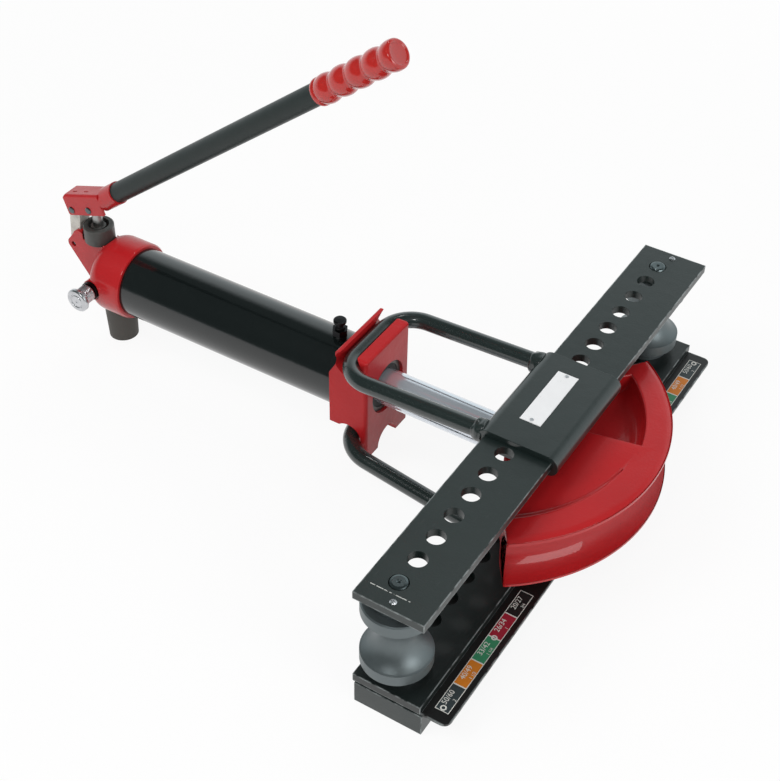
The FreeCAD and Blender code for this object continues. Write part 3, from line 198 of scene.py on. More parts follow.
def group(name, inputs, outputs):
    """A shader node group with named sockets."""
    tree = bpy.data.node_groups.new(name, "ShaderNodeTree")
    for label, kind, default in inputs:
        socket = tree.interface.new_socket(label, in_out="INPUT", socket_type=kind)
        if default is not None:
            socket.default_value = default
    for label, kind in outputs:
        tree.interface.new_socket(label, in_out="OUTPUT", socket_type=kind)
    return tree, tree.nodes.new("NodeGroupInput"), tree.nodes.new("NodeGroupOutput")


def feed(tree, node, links):
    """Fill a node's inputs. Links pair an input's name or number with a socket or a value."""
    for key, source in links.items():
        if isinstance(source, bpy.types.NodeSocket):
            tree.links.new(source, node.inputs[key])
        else:
            node.inputs[key].default_value = source
    return node


def put(tree, kind, links=(), **settings):
    """Add a node, set it up and fill its inputs."""
    node = tree.nodes.new("ShaderNode" + kind)
    for key, setting in settings.items():
        setattr(node, key, setting)
    return feed(tree, node, dict(links))


def maths(tree, operation, first, second=0.0, clamp=False):
    return put(tree, "Math", {0: first, 1: second}, operation=operation, use_clamp=clamp).outputs[0]


def build_mottle():
    """Slow cloudy variation, from 0 to 1."""
    tree, inner, outer = group("mottle", [("Vector", "NodeSocketVector", None),
                                          ("Scale", "NodeSocketFloat", 20.0),
                                          ("Contrast", "NodeSocketFloat", 1.0)],
                               [("Mask", "NodeSocketFloat")])
    noise = put(tree, "TexNoise", {"Vector": inner.outputs["Vector"], "Scale": inner.outputs["Scale"],
                                   "Detail": 6.0, "Roughness": 0.6})
    centred = maths(tree, "SUBTRACT", noise.outputs["Fac"], 0.5)
    stretched = maths(tree, "MULTIPLY", centred, inner.outputs["Contrast"])
    tree.links.new(maths(tree, "ADD", stretched, 0.5, clamp=True), outer.inputs["Mask"])
    return tree


def build_grain():
    """Cast or sprayed skin: two sizes of bumps, as a height."""
    tree, inner, outer = group("grain", [("Vector", "NodeSocketVector", None),
                                         ("Scale", "NodeSocketFloat", 400.0),
                                         ("Waves", "NodeSocketFloat", 40.0)],
                               [("Height", "NodeSocketFloat")])
    fine = put(tree, "TexNoise", {"Vector": inner.outputs["Vector"], "Scale": inner.outputs["Scale"],
                                  "Detail": 3.0})
    broad = put(tree, "TexNoise", {"Vector": inner.outputs["Vector"], "Scale": inner.outputs["Waves"],
                                   "Detail": 1.0})
    weighted = maths(tree, "MULTIPLY", broad.outputs["Fac"], 2.0)
    tree.links.new(maths(tree, "ADD", fine.outputs["Fac"], weighted), outer.inputs["Height"])
    return tree


def build_scratches():
    """Thin broken lines that run one way, as a mask. Stretch says along which axis they run."""
    tree, inner, outer = group("scratches", [("Vector", "NodeSocketVector", None),
                                             ("Stretch", "NodeSocketVector", (1.0, 1.0, 1.0)),
                                             ("Scale", "NodeSocketFloat", 300.0),
                                             ("Amount", "NodeSocketFloat", 0.3)],
                               [("Mask", "NodeSocketFloat")])
    scaled = put(tree, "VectorMath", {0: inner.outputs["Vector"], 1: inner.outputs["Stretch"]},
                 operation="MULTIPLY")
    noise = put(tree, "TexNoise", {"Vector": scaled.outputs[0], "Scale": inner.outputs["Scale"],
                                   "Detail": 2.0})
    edge = maths(tree, "SUBTRACT", 1.0, inner.outputs["Amount"])
    above = maths(tree, "SUBTRACT", noise.outputs["Fac"], edge)
    tree.links.new(maths(tree, "MULTIPLY", above, 12.0, clamp=True), outer.inputs["Mask"])
    return tree


def build_specks():
    """Scattered chips and specks, as a mask."""
    tree, inner, outer = group("specks", [("Vector", "NodeSocketVector", None),
                                          ("Scale", "NodeSocketFloat", 180.0),
                                          ("Amount", "NodeSocketFloat", 0.1)],
                               [("Mask", "NodeSocketFloat")])
    cells = put(tree, "TexVoronoi", {"Vector": inner.outputs["Vector"],
                                     "Scale": inner.outputs["Scale"]})
    noise = put(tree, "TexNoise", {"Vector": inner.outputs["Vector"], "Scale": 60.0, "Detail": 4.0})
    size = maths(tree, "MULTIPLY", noise.outputs["Fac"], inner.outputs["Amount"])
    inside = maths(tree, "SUBTRACT", size, cells.outputs["Distance"])
    tree.links.new(maths(tree, "MULTIPLY", inside, 20.0, clamp=True), outer.inputs["Mask"])
    return tree


def build_box_edge():
    """How near a point lies to an edge of a box, as a mask that noise breaks up."""
    tree, inner, outer = group("box_edge", [("Vector", "NodeSocketVector", None),
                                            ("Centre", "NodeSocketVector", (0.0, 0.0, 0.0)),
                                            ("Half", "NodeSocketVector", (1.0, 1.0, 1.0)),
                                            ("Width", "NodeSocketFloat", 0.002)],
                               [("Mask", "NodeSocketFloat")])
    moved = put(tree, "VectorMath", {0: inner.outputs["Vector"], 1: inner.outputs["Centre"]},
                operation="SUBTRACT")
    size = put(tree, "VectorMath", {0: moved.outputs[0]}, operation="ABSOLUTE")
    inside = put(tree, "VectorMath", {0: inner.outputs["Half"], 1: size.outputs[0]},
                 operation="SUBTRACT")
    parts = put(tree, "SeparateXYZ", {0: inside.outputs[0]})
    near = [maths(tree, "LESS_THAN", parts.outputs[axis], inner.outputs["Width"]) for axis in range(3)]
    noise = put(tree, "TexNoise", {"Vector": inner.outputs["Vector"], "Scale": 90.0, "Detail": 5.0})
    count = maths(tree, "ADD", maths(tree, "ADD", near[0], near[1]), near[2])
    corner = maths(tree, "GREATER_THAN", count, 1.5)
    above = maths(tree, "SUBTRACT", noise.outputs["Fac"], 0.38)
    broken = maths(tree, "MULTIPLY", above, 5.0, clamp=True)
    tree.links.new(maths(tree, "MULTIPLY", corner, broken), outer.inputs["Mask"])
    return tree


def build_scribed_dots():
    """A row of fine dots across a bar, on a line of constant Y."""
    tree, inner, outer = group("scribed_dots", [("Vector", "NodeSocketVector", None),
                                                ("Line", "NodeSocketFloat", 0.0),
                                                ("Reach", "NodeSocketFloat", 0.025),
                                                ("Width", "NodeSocketFloat", 0.0005)],
                               [("Mask", "NodeSocketFloat")])
    parts = put(tree, "SeparateXYZ", {0: inner.outputs["Vector"]})
    along = maths(tree, "ABSOLUTE", maths(tree, "ADD", parts.outputs[0], 0.003))
    short = maths(tree, "LESS_THAN", along, inner.outputs["Reach"])
    away = maths(tree, "ABSOLUTE", maths(tree, "SUBTRACT", parts.outputs[1], inner.outputs["Line"]))
    on_line = maths(tree, "LESS_THAN", away, inner.outputs["Width"])
    noise = put(tree, "TexNoise", {"Vector": inner.outputs["Vector"], "Scale": 420.0, "Detail": 1.0})
    above = maths(tree, "SUBTRACT", noise.outputs["Fac"], 0.45)
    dots = maths(tree, "MULTIPLY", above, 14.0, clamp=True)
    broken = maths(tree, "MULTIPLY", on_line, dots)
    tree.links.new(maths(tree, "MULTIPLY", broken, short), outer.inputs["Mask"])
    return tree


GROUPS = {"mottle": build_mottle(), "grain": build_grain(), "scratches": build_scratches(),
          "specks": build_specks(), "box_edge": build_box_edge(), "scribed_dots": build_scribed_dots()}


def place_group(tree, name, links):
    """Add one of the shared groups and return its only output."""
    node = tree.nodes.new("ShaderNodeGroup")
    node.node_tree = GROUPS[name]
    return feed(tree, node, links).outputs[0]


class Finish:
    """A material under construction: one Principled BSDF and the places that feed it."""

    def __init__(self, name, colour, roughness, metallic=0.0, coat=0.0, specular=0.5):
        self.material = bpy.data.materials.new(name)
        self.material.use_nodes = True
        self.tree = self.material.node_tree
        self.shader = self.tree.nodes["Principled BSDF"]
        self.where = put(self.tree, "TexCoord").outputs["Object"]
        self.shader.inputs["Metallic"].default_value = metallic
        self.shader.inputs["Coat Weight"].default_value = coat
        self.shader.inputs["Coat Roughness"].default_value = 0.04
        self.shader.inputs["Specular IOR Level"].default_value = specular
        self.shader.inputs["Base Color"].default_value = (*colour, 1)
        self.shader.inputs["Roughness"].default_value = roughness
        self.colour = (*colour, 1)

    def mask(self, name, **values):
        return place_group(self.tree, name, {"Vector": self.where, **values})

    def tint(self, mask, colour, strength=1.0):
        """Lay a colour over the finish where the mask is white."""
        factor = maths(self.tree, "MULTIPLY", mask, strength)
        mix = put(self.tree, "Mix", {0: factor, 6: self.colour, 7: (*colour, 1)}, data_type="RGBA")
        self.colour = mix.outputs[2]
        return self

    def roughen(self, mask, low, high):
        """Let the roughness run from low to high with the mask."""
        spread = put(self.tree, "MapRange", {"Value": mask, "To Min": low, "To Max": high})
        self.tree.links.new(spread.outputs[0], self.shader.inputs["Roughness"])
        return self

    def bare_and_highlight(self, mask, strength=1.0):
        """Show lighter metal where the mask is white: worn edges, and with them a painted highlight
        along the edges.
        """
        self.tint(mask, BARE_METAL_AND_HIGHLIGHT, strength)
        metal = maths(self.tree, "MULTIPLY", mask, 0.8 * strength)
        self.tree.links.new(metal, self.shader.inputs["Metallic"])
        return self

    def bump(self, height, distance, strength=1.0):
        bump = put(self.tree, "Bump", {"Height": height, "Distance": distance, "Strength": strength})
        self.tree.links.new(bump.outputs[0], self.shader.inputs["Normal"])
        return self

    def done(self):
        if isinstance(self.colour, bpy.types.NodeSocket):
            self.tree.links.new(self.colour, self.shader.inputs["Base Color"])
        return self.material


def darker(colour, share):
    return tuple(part * share for part in colour)


# Materials

def red_enamel(name="red_enamel", gloss=0.1):
    """Thick enamel over a casting, with chips and a little dirt in it."""
    finish = Finish(name, ENAMEL_RED, 0.34, coat=gloss, specular=0.18)
    mottle = finish.mask("mottle", Scale=14.0, Contrast=1.6)
    finish.tint(mottle, darker(ENAMEL_RED, 0.72), 0.5)
    finish.tint(finish.mask("specks", Scale=110.0, Amount=0.16), darker(ENAMEL_RED, 0.3), 0.6)
    finish.roughen(mottle, 0.26, 0.44)
    return finish.bump(finish.mask("grain", Scale=330.0, Waves=55.0), 0.22 * MM).done()


def tube_enamel():
    """Smooth black gloss with faint waves and fine handling marks."""
    finish = Finish("tube_enamel", TUBE_BLACK, 0.14, coat=0.15, specular=0.65)
    mottle = finish.mask("mottle", Scale=9.0, Contrast=1.4)
    finish.tint(mottle, darker(TUBE_BLACK, 1.8), 0.5)
    handled = finish.mask("scratches", Stretch=(1.0, 14.0, 14.0), Scale=35.0, Amount=0.30)
    finish.tint(handled, DUST, 0.03)
    finish.roughen(mottle, 0.11, 0.18)
    return finish.bump(finish.mask("grain", Scale=160.0, Waves=18.0), 0.09 * MM).done()


def frame_paint(name="frame_paint", piece=None, gloss=0.0, colour=FRAME_GREY):
    """Near-black paint, satin to glossy. On a bar the edges are lighter metal: partly rubbed to metal,
    partly a painted highlight.
    """
    finish = Finish(name, colour, 0.36, coat=gloss, specular=0.65)
    mottle = finish.mask("mottle", Scale=11.0, Contrast=1.8)
    finish.tint(mottle, darker(colour, 1.8), 0.65)
    rubbed = finish.mask("scratches", Stretch=(9.0, 0.8, 9.0), Scale=60.0, Amount=0.32)
    finish.tint(rubbed, BARE_METAL_AND_HIGHLIGHT, 0.03)
    finish.roughen(mottle, 0.28 - 0.12 * gloss, 0.46 - 0.2 * gloss)
    if piece:
        # Lighter metal along the bar's edges: wear, and a painted highlight.
        low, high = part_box(piece)
        edge = finish.mask("box_edge", Centre=(low + high) / 2, Half=(high - low) / 2,
                           Width=EDGE_WEAR_AND_HIGHLIGHT)
        finish.bare_and_highlight(edge, 0.7)
    if piece == "upper_wing":
        finish.tint(finish.mask("scribed_dots", Line=low.y + SCRIBE_INSET), CHALK_WHITE, 0.8)
    return finish.bump(finish.mask("grain", Scale=420.0, Waves=60.0), 0.10 * MM).done()


def handle_paint():
    """Satin dark paint that hands have worn evenly."""
    finish = Finish("handle_paint", FRAME_GREY, 0.42, specular=0.35)
    mottle = finish.mask("mottle", Scale=16.0, Contrast=1.6)
    finish.tint(mottle, darker(FRAME_GREY, 1.7), 0.6).roughen(mottle, 0.34, 0.5)
    return finish.bump(finish.mask("grain", Scale=420.0, Waves=60.0), 0.08 * MM).done()


def plate_black():
    finish = Finish("plate_black", PLATE_BLACK, 0.4, coat=0.1)
    mottle = finish.mask("mottle", Scale=24.0, Contrast=1.6)
    finish.tint(mottle, DUST, 0.015).roughen(mottle, 0.32, 0.5)
    # Lighter metal along the plate's edges: wear, and a painted highlight.
    low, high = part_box("scale_plate")
    edge = finish.mask("box_edge", Centre=(low + high) / 2, Half=(high - low) / 2,
                       Width=1.2 * EDGE_WEAR_AND_HIGHLIGHT)
    finish.bare_and_highlight(edge, 0.8)
    return finish.bump(finish.mask("grain", Scale=500.0, Waves=80.0), 0.05 * MM).done()


def turned_metal(name, colour, low, high, dirt=0.25, metallic=1.0):
    """Steel from a lathe: fine marks, uneven gloss and some grime."""
    finish = Finish(name, colour, low, metallic=metallic)
    marks = finish.mask("scratches", Scale=120.0, Amount=0.5)
    mottle = finish.mask("mottle", Scale=30.0, Contrast=1.8)
    finish.tint(mottle, darker(colour, 0.55), dirt)
    finish.tint(marks, darker(colour, 0.7), 0.35)
    finish.roughen(mottle, low, high)
    return finish.bump(marks, 0.03 * MM).done()


def gunmetal():
    """Dark phosphated steel, smooth and a little uneven."""
    finish = Finish("gunmetal", GUNMETAL, 0.46, metallic=0.8, specular=0.4)
    mottle = finish.mask("mottle", Scale=16.0, Contrast=2.0)
    finish.tint(mottle, darker(GUNMETAL, 1.5), 0.5)
    finish.tint(finish.mask("specks", Scale=140.0, Amount=0.12), RUST, 0.25)
    finish.roughen(mottle, 0.40, 0.52)
    return finish.bump(finish.mask("grain", Scale=380.0, Waves=70.0), 0.06 * MM).done()


def chrome():
    finish = Finish("chrome", CHROME, 0.12, metallic=0.66, coat=0.8)
    marks = finish.mask("scratches", Stretch=(0.4, 12.0, 12.0), Scale=40.0, Amount=0.42)
    finish.tint(marks, darker(CHROME, 0.8), 0.3)
    finish.roughen(finish.mask("mottle", Scale=40.0, Contrast=1.5), 0.08, 0.15)
    return finish.bump(marks, 0.01 * MM).done()


def rubber(name, colour):
    finish = Finish(name, colour, 0.6, specular=0.4)
    mottle = finish.mask("mottle", Scale=45.0, Contrast=1.8)
    finish.tint(mottle, darker(colour, 1.7), 0.6).roughen(mottle, 0.5, 0.75)
    return finish.bump(finish.mask("grain", Scale=600.0, Waves=120.0), 0.12 * MM).done()


def grip_vinyl():
    finish = Finish("grip_vinyl", GRIP_RED, 0.2, coat=0.9, specular=0.3)
    mottle = finish.mask("mottle", Scale=26.0, Contrast=1.5)
    finish.tint(mottle, darker(GRIP_RED, 0.7), 0.45).roughen(mottle, 0.14, 0.28)
    return finish.bump(finish.mask("grain", Scale=240.0, Waves=90.0), 0.12 * MM).done()


def blank_plate():
    finish = Finish("blank_plate", PLATE_WHITE, 0.35, coat=0.2)
    mottle = finish.mask("mottle", Scale=50.0, Contrast=1.6)
    finish.tint(mottle, darker(PLATE_WHITE, 0.85), 0.4).roughen(mottle, 0.28, 0.42)
    marks = finish.mask("scratches", Stretch=(6.0, 1.0, 1.0), Scale=150.0, Amount=0.32)
    return finish.tint(marks, (0.3, 0.3, 0.3), 0.2).bump(marks, 0.03 * MM).done()


def print_ink(name, colour):
    finish = Finish(name, colour, 0.4)
    mottle = finish.mask("mottle", Scale=70.0, Contrast=1.8)
    finish.tint(mottle, darker(colour, 0.75), 0.4).roughen(mottle, 0.35, 0.5)
    return finish.bump(finish.mask("grain", Scale=900.0, Waves=200.0), 0.02 * MM).done()


SHARED = {
    "red_enamel": red_enamel(), "tube_enamel": tube_enamel(), "frame_paint": frame_paint(gloss=0.6),
    "plate_black": plate_black(), "gunmetal": gunmetal(), "chrome": chrome(),
    "machined_steel": turned_metal("machined_steel", MACHINED, 0.25, 0.42),
    "blackened_steel": turned_metal("blackened_steel", BLACK_OXIDE, 0.3, 0.5, dirt=0.4),
    "bright_zinc": turned_metal("bright_zinc", ZINC, 0.22, 0.38, dirt=0.3),
    "bronze": turned_metal("bronze", BRONZE, 0.3, 0.45),
    "pin_steel": turned_metal("pin_steel", PIN_STEEL, 0.22, 0.36, dirt=0.5),
    "gland_steel": turned_metal("gland_steel", GLAND_STEEL, 0.30, 0.46, dirt=0.4, metallic=0.5),
    "satin_paint": frame_paint("satin_paint", gloss=0.25),
    "glossy_red": red_enamel("glossy_red", gloss=0.5),
    "handle_paint": handle_paint(),
    "link_plating": turned_metal("link_plating", LINK_PLATING, 0.3, 0.45, metallic=0.25),
    "seal_rubber": rubber("seal_rubber", RUBBER), "foot_rubber": rubber("foot_rubber", FOOT_BROWN),
    "grip_red": grip_vinyl(), "blank_plate": blank_plate(),
}
SLOT_OF = {part["node"]: part["material_slot"] for part in frame["record"]["subparts"]}
FINISH_OF = {
    "link": "link_plating", "lever_link_pin": "pin_steel", "lever_plunger_pin": "pin_steel",
    "lug_pin": "pin_steel", "roller_pin_near": "pin_steel", "roller_pin_far": "pin_steel",
    "pump_gland_nut": "gland_steel", "ram_gland_nut": "gland_steel", "bending_former": "glossy_red",
    "pump_head": "glossy_red", "lever_block": "glossy_red", "lever_socket": "glossy_red",
    "lever_tube": "handle_paint", "upper_sleeve": "satin_paint", "lower_sleeve": "satin_paint",
}
# Paint of the bars. The lower wing's is darkened to 0.45: painted shade, as it lies under the upper
# wing.
BAR_PAINT_AND_SHADE = {"upper_wing": FRAME_GREY, "lower_wing": darker(FRAME_GREY, 0.45),
              "foot_channel": FRAME_GREY}


def dress_nodes():
    """Give every carried-over node its finish."""
    for name, item in NODES.items():
        material = SHARED[FINISH_OF.get(name, SLOT_OF[name])]
        if name in BAR_PAINT_AND_SHADE:
            material = frame_paint("frame_paint_" + name, name, colour=BAR_PAINT_AND_SHADE[name])
        item.data.materials.clear()
        item.data.materials.append(material)
        only(item)
        bpy.ops.object.shade_smooth_by_angle(angle=math.radians(32))


# Pieces

# How far each piece's edges are rounded, and whether thin places hold that back.
EASED = {
    "bending_former": (2.2 * MM, False), "front_bracket": (1.8 * MM, True),
    "pump_head": (1.2 * MM, True), "lever_block": (1.4 * MM, True), "upper_sleeve": (1.0 * MM, True),
    "lower_sleeve": (1.0 * MM, True), "upper_wing": (0.7 * MM, True), "lower_wing": (0.7 * MM, True),
    "foot_channel": (0.7 * MM, True),
}


ROUNDING_SEGMENTS = 3
FLAT_WITHIN = 1       # degrees between the triangles that belong to one face
ROUNDED_FROM = 35     # degrees between faces from which their edge is rounded
SMOOTH_WITHIN = 40


def eased_copies():
    """Stand-ins for castings and bars whose edges are rounded, as under thick paint."""
    for node, (width, held) in EASED.items():
        start()
        bpy.ops.object.add(type="MESH")
        piece = fresh(node + "_eased")
        piece.data = NODES[node].data.copy()
        bpy.ops.object.mode_set(mode="EDIT")
        bpy.ops.mesh.select_all(action="SELECT")
        bpy.ops.mesh.remove_doubles(threshold=ONE_POINT)
        bpy.ops.mesh.dissolve_limited(angle_limit=math.radians(FLAT_WITHIN))
        bpy.ops.object.mode_set(mode="OBJECT")
        rounding = piece.modifiers.new("rounding", "BEVEL")
        rounding.width = width
        rounding.segments = ROUNDING_SEGMENTS
        rounding.use_clamp_overlap = held
        rounding.limit_method = "ANGLE"
        rounding.angle_limit = math.radians(ROUNDED_FROM)
        apply_modifiers(piece)
        bpy.ops.object.shade_smooth_by_angle(angle=math.radians(SMOOTH_WITHIN))
        weights = piece.modifiers.new("flat_faces", "WEIGHTED_NORMAL")
        weights.keep_sharp = True
        apply_modifiers(piece)
        material = piece.data.materials[0]
        settle(piece, NODES[node]["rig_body"], SLOT_OF[node], material, node)


HOOP_BAR = 20 * MM
# The weld's outline in millimetres: past the bar's surface, and along the bar.
WELD_OUTLINE = [(-1, 0), (1.2, 0.4), (2.4, 3), (3.2, 7), (3.8, 11), (2.6, 14), (-1, 15)]
WELD_STEPS = 14
WELD_LUMPS = 2.4 * MM
WELD_SINK = 5 * MM
OFF_GROUND = 0.2 * MM


def weld_collar(name, centre, body, seed):
    """The thick lumpy weld between a hoop's end and the plate that it is welded to, on the X axis."""
    radius = HOOP_BAR / 2
    reach = WELD_OUTLINE[-1][1] * MM
    collar = lathe(name, [(radius + past * MM, along * MM) for past, along in WELD_OUTLINE], WELD_STEPS)
    bpy.ops.object.mode_set(mode="EDIT")
    pick(collar, "VERT", lambda vertex: math.hypot(vertex.co.x, vertex.co.y) > radius)
    bpy.ops.transform.vertex_random(offset=WELD_LUMPS, normal=0.5, seed=seed)
    bpy.ops.object.mode_set(mode="OBJECT")
    smooth = collar.modifiers.new("flow", "SUBSURF")
    smooth.levels = 2
    smooth.render_levels = 2
    apply_modifiers(collar)
    collar.rotation_euler = (0, math.radians(90), 0)
    collar.location = (centre[0] - reach + WELD_SINK, centre[1], centre[2])
    bpy.ops.object.transform_apply(location=True, rotation=True, scale=True)
    bpy.ops.object.mode_set(mode="EDIT")
    bpy.ops.mesh.select_all(action="SELECT")
    bpy.ops.mesh.bisect(plane_co=(0, 0, OFF_GROUND), plane_no=(0, 0, 1), clear_inner=True,
                        use_fill=True)
    bpy.ops.object.mode_set(mode="OBJECT")
    finish_mesh(collar, 60)
    return settle(collar, body, "frame_paint", SHARED["frame_paint"])


def hoop_welds():
    """Welds at the ends of the hoops: on the upper sleeve's rear wall and on the foot's rear face."""
    radius = HOOP_BAR / 2
    for hoop_name, body in (("upper_hoop", "upper_frame"), ("lower_hoop", "root")):
        low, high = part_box(hoop_name)
        height = high.z - radius if body == "upper_frame" else low.z + radius
        for number, y in enumerate((low.y + radius, high.y - radius), 1):
            weld_collar("%s_weld_%d" % (hoop_name, number), (high.x, y, height), body, number)


CELL_LENGTH = 36.3 * MM
CELL_WIDTH = 15.8 * MM
CELLS = [("50/60", "2", "charcoal"), ("40/49", "1 1/2", "orange"), ("33/42", "1 1/4", "green"),
         ("26/34", "1", "crimson"), ("20/27", "3/4", "black")]
CELL_BORDER = 0.75 * MM
CELL_THICKNESS = 0.12 * MM
LETTER_THICKNESS = 0.05 * MM
RING_RADIUS = 3.4 * MM
RING_WIDTH = 1.5 * MM
RING_THICKNESS = 0.1 * MM


def shifted_copy(piece, name, shift):
    """A copy with its own mesh, moved by a shift that goes into the mesh."""
    only(piece)
    bpy.ops.object.duplicate(linked=False)
    copy = fresh(name)
    copy.location = shift
    bpy.ops.object.transform_apply(location=True, rotation=False, scale=False)
    return copy


def printed_field(name, middle_x, middle_y, top):
    """A printed field with a border, a hair proud of the plate."""
    start()
    bpy.ops.mesh.primitive_plane_add(size=1, location=(middle_x, middle_y, top))
    field = fresh(name)
    field.data.materials.append(INK["white"])
    field.data.materials.append(INK["black"])
    field.scale = (CELL_WIDTH, CELL_LENGTH, 1)
    bpy.ops.object.transform_apply(location=False, rotation=False, scale=True)
    bpy.ops.object.mode_set(mode="EDIT")
    bpy.ops.mesh.select_all(action="SELECT")
    bpy.ops.mesh.inset(thickness=CELL_BORDER, depth=0)
    field.active_material_index = 1
    bpy.ops.object.material_slot_assign()
    bpy.ops.object.mode_set(mode="OBJECT")
    solid = field.modifiers.new("solid", "SOLIDIFY")
    solid.thickness = CELL_THICKNESS
    solid.offset = 1
    apply_modifiers(field)
    return finish_mesh(field, 20)


def printed_text(name, words, x, y, top, size):
    """Plain numbers, read along the plate."""
    start()
    bpy.ops.object.text_add(location=(0, 0, 0))
    text = bpy.context.view_layer.objects.active
    text.data.body = words
    text.data.size = size
    text.data.align_x = "CENTER"
    text.data.align_y = "CENTER"
    text.data.extrude = LETTER_THICKNESS
    text.data.resolution_u = 3
    only(text)
    bpy.ops.object.convert(target="MESH")
    text = fresh(name)
    text.rotation_euler = (0, 0, math.radians(90))
    text.location = (x, y, top)
    finish_mesh(text, 20)
    return settle(text, "root", "plate_black", INK["white"])


def marker_ring(name, x, y, top):
    start()
    bpy.ops.mesh.primitive_circle_add(vertices=32, radius=RING_RADIUS, fill_type="NGON",
                                      location=(x, y, top))
    ring = fresh(name)
    bpy.ops.object.mode_set(mode="EDIT")
    bpy.ops.mesh.select_all(action="SELECT")
    bpy.ops.mesh.inset(thickness=RING_WIDTH, depth=0)
    bpy.ops.mesh.delete(type="FACE")
    bpy.ops.object.mode_set(mode="OBJECT")
    solid = ring.modifiers.new("solid", "SOLIDIFY")
    solid.thickness = RING_THICKNESS
    solid.offset = 1
    apply_modifiers(ring)
    return finish_mesh(ring, 30)


PRINT_INSET = 7 * MM       # fields, from the plate's front edge
PRINT_START = 13.9 * MM    # fields, from the plate's ends
NUMBERS_ACROSS = 5.3 * MM
INCHES_ACROSS = 12.6 * MM
RING_ACROSS = 7.7 * MM
# Markers on each row: how far they lie from the row's start.
MARKERS = [("end", 4.2 * MM), ("middle", 3 * CELL_LENGTH)]


def printed_scale():
    """Two rows of coloured fields with plain pipe sizes, one row on each side."""
    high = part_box("scale_plate")[1]
    top = high.z + 0.02 * MM
    ink_top = top + 0.2 * MM
    ring_top = ink_top + 0.02 * MM
    right = high.x - PRINT_INSET
    left = right - CELL_WIDTH
    outer = high.y - PRINT_START
    first_field = first_ring = None
    for side, word in ((-1, "near"), (1, "far")):
        for number, (metric, inches, colour) in enumerate(CELLS):
            middle = side * (outer - (number + 0.5) * CELL_LENGTH)
            label = "%s_field_%d" % (word, number + 1)
            if first_field is None:
                field = first_field = printed_field(label, (left + right) / 2, middle, top)
                first_middle = middle
            else:
                field = shifted_copy(first_field, label, (0, middle - first_middle, 0))
            field.data.materials[1] = INK[colour]
            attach(field, "root")
            printed_text(label + "_numbers", metric, left + NUMBERS_ACROSS, middle, ink_top, 8.4 * MM)
            printed_text(label + "_inches", inches, left + INCHES_ACROSS, middle, ink_top, 5.0 * MM)
        for place, distance in MARKERS:
            label = "%s_marker_%s" % (word, place)
            spot = side * (outer - distance)
            if first_ring is None:
                ring = first_ring = marker_ring(label, left + RING_ACROSS, spot, ring_top)
                first_spot = spot
            else:
                ring = shifted_copy(first_ring, label, (0, spot - first_spot, 0))
            settle(ring, "root", "plate_black", INK["white"])


HANDLE_TILT = math.radians(38.05)
HANDLE_FOOT = Vector((-592 * MM, 0, 223.6 * MM))
HANDLE_LENGTH = 506 * MM


def lever_grip():
    """The moulded grip: a lipped mouth, four bulges with soft valleys, and a cap with a dished end."""
    length, outer, valley, bore = 119 * MM, 16.5 * MM, 13.0 * MM, 12.9 * MM
    pitch, bulges = 25 * MM, 4
    mouth = [(outer - 1.3 * MM, 0), (outer - 0.9 * MM, 1 * MM), (outer - 0.9 * MM, 3.4 * MM)]
    corners = [(bore, 0), *mouth, (outer - 1.8 * MM, 4.6 * MM)]
    crests, valleys = [], []
    for number in range(bulges):
        base = number * pitch
        pair = [(outer, base + (7.5 if number else 9.0) * MM), (outer, base + 17.5 * MM)]
        crests += pair
        valleys.append((valley, base + pitch))
        corners += [*pair, valleys[-1]]
    crests.append((outer, length - 12 * MM))
    edge = [(outer - 0.6 * MM, length - 1.8 * MM), (outer - 2.4 * MM, length)]
    rim = [(outer - 4.2 * MM, length), (outer - 5.2 * MM, length - 1.2 * MM)]
    corners += [crests[-1], (outer, length - 6 * MM), *edge, *rim, (4 * MM, length - 1.4 * MM)]
    corners += [(0, length - 1.4 * MM), (0, length - 6 * MM), (bore, length - 6 * MM)]
    grip = lathe("vinyl_grip", corners, 72, True, [(4.0 * MM, 6, crests), (1.6 * MM, 3, valleys),
                                                   (0.8 * MM, 3, edge), (0.4 * MM, 2, rim)])
    along = Vector((math.cos(HANDLE_TILT), 0, math.sin(HANDLE_TILT)))
    grip.rotation_euler = (0, math.radians(90) - HANDLE_TILT, 0)
    grip.location = HANDLE_FOOT + along * (HANDLE_LENGTH - length)
    finish_mesh(grip, 50)
    return settle(grip, "lever", "grip_red", SHARED["grip_red"], "lever_grip")


COLLAR_FACE_Y = -47 * MM


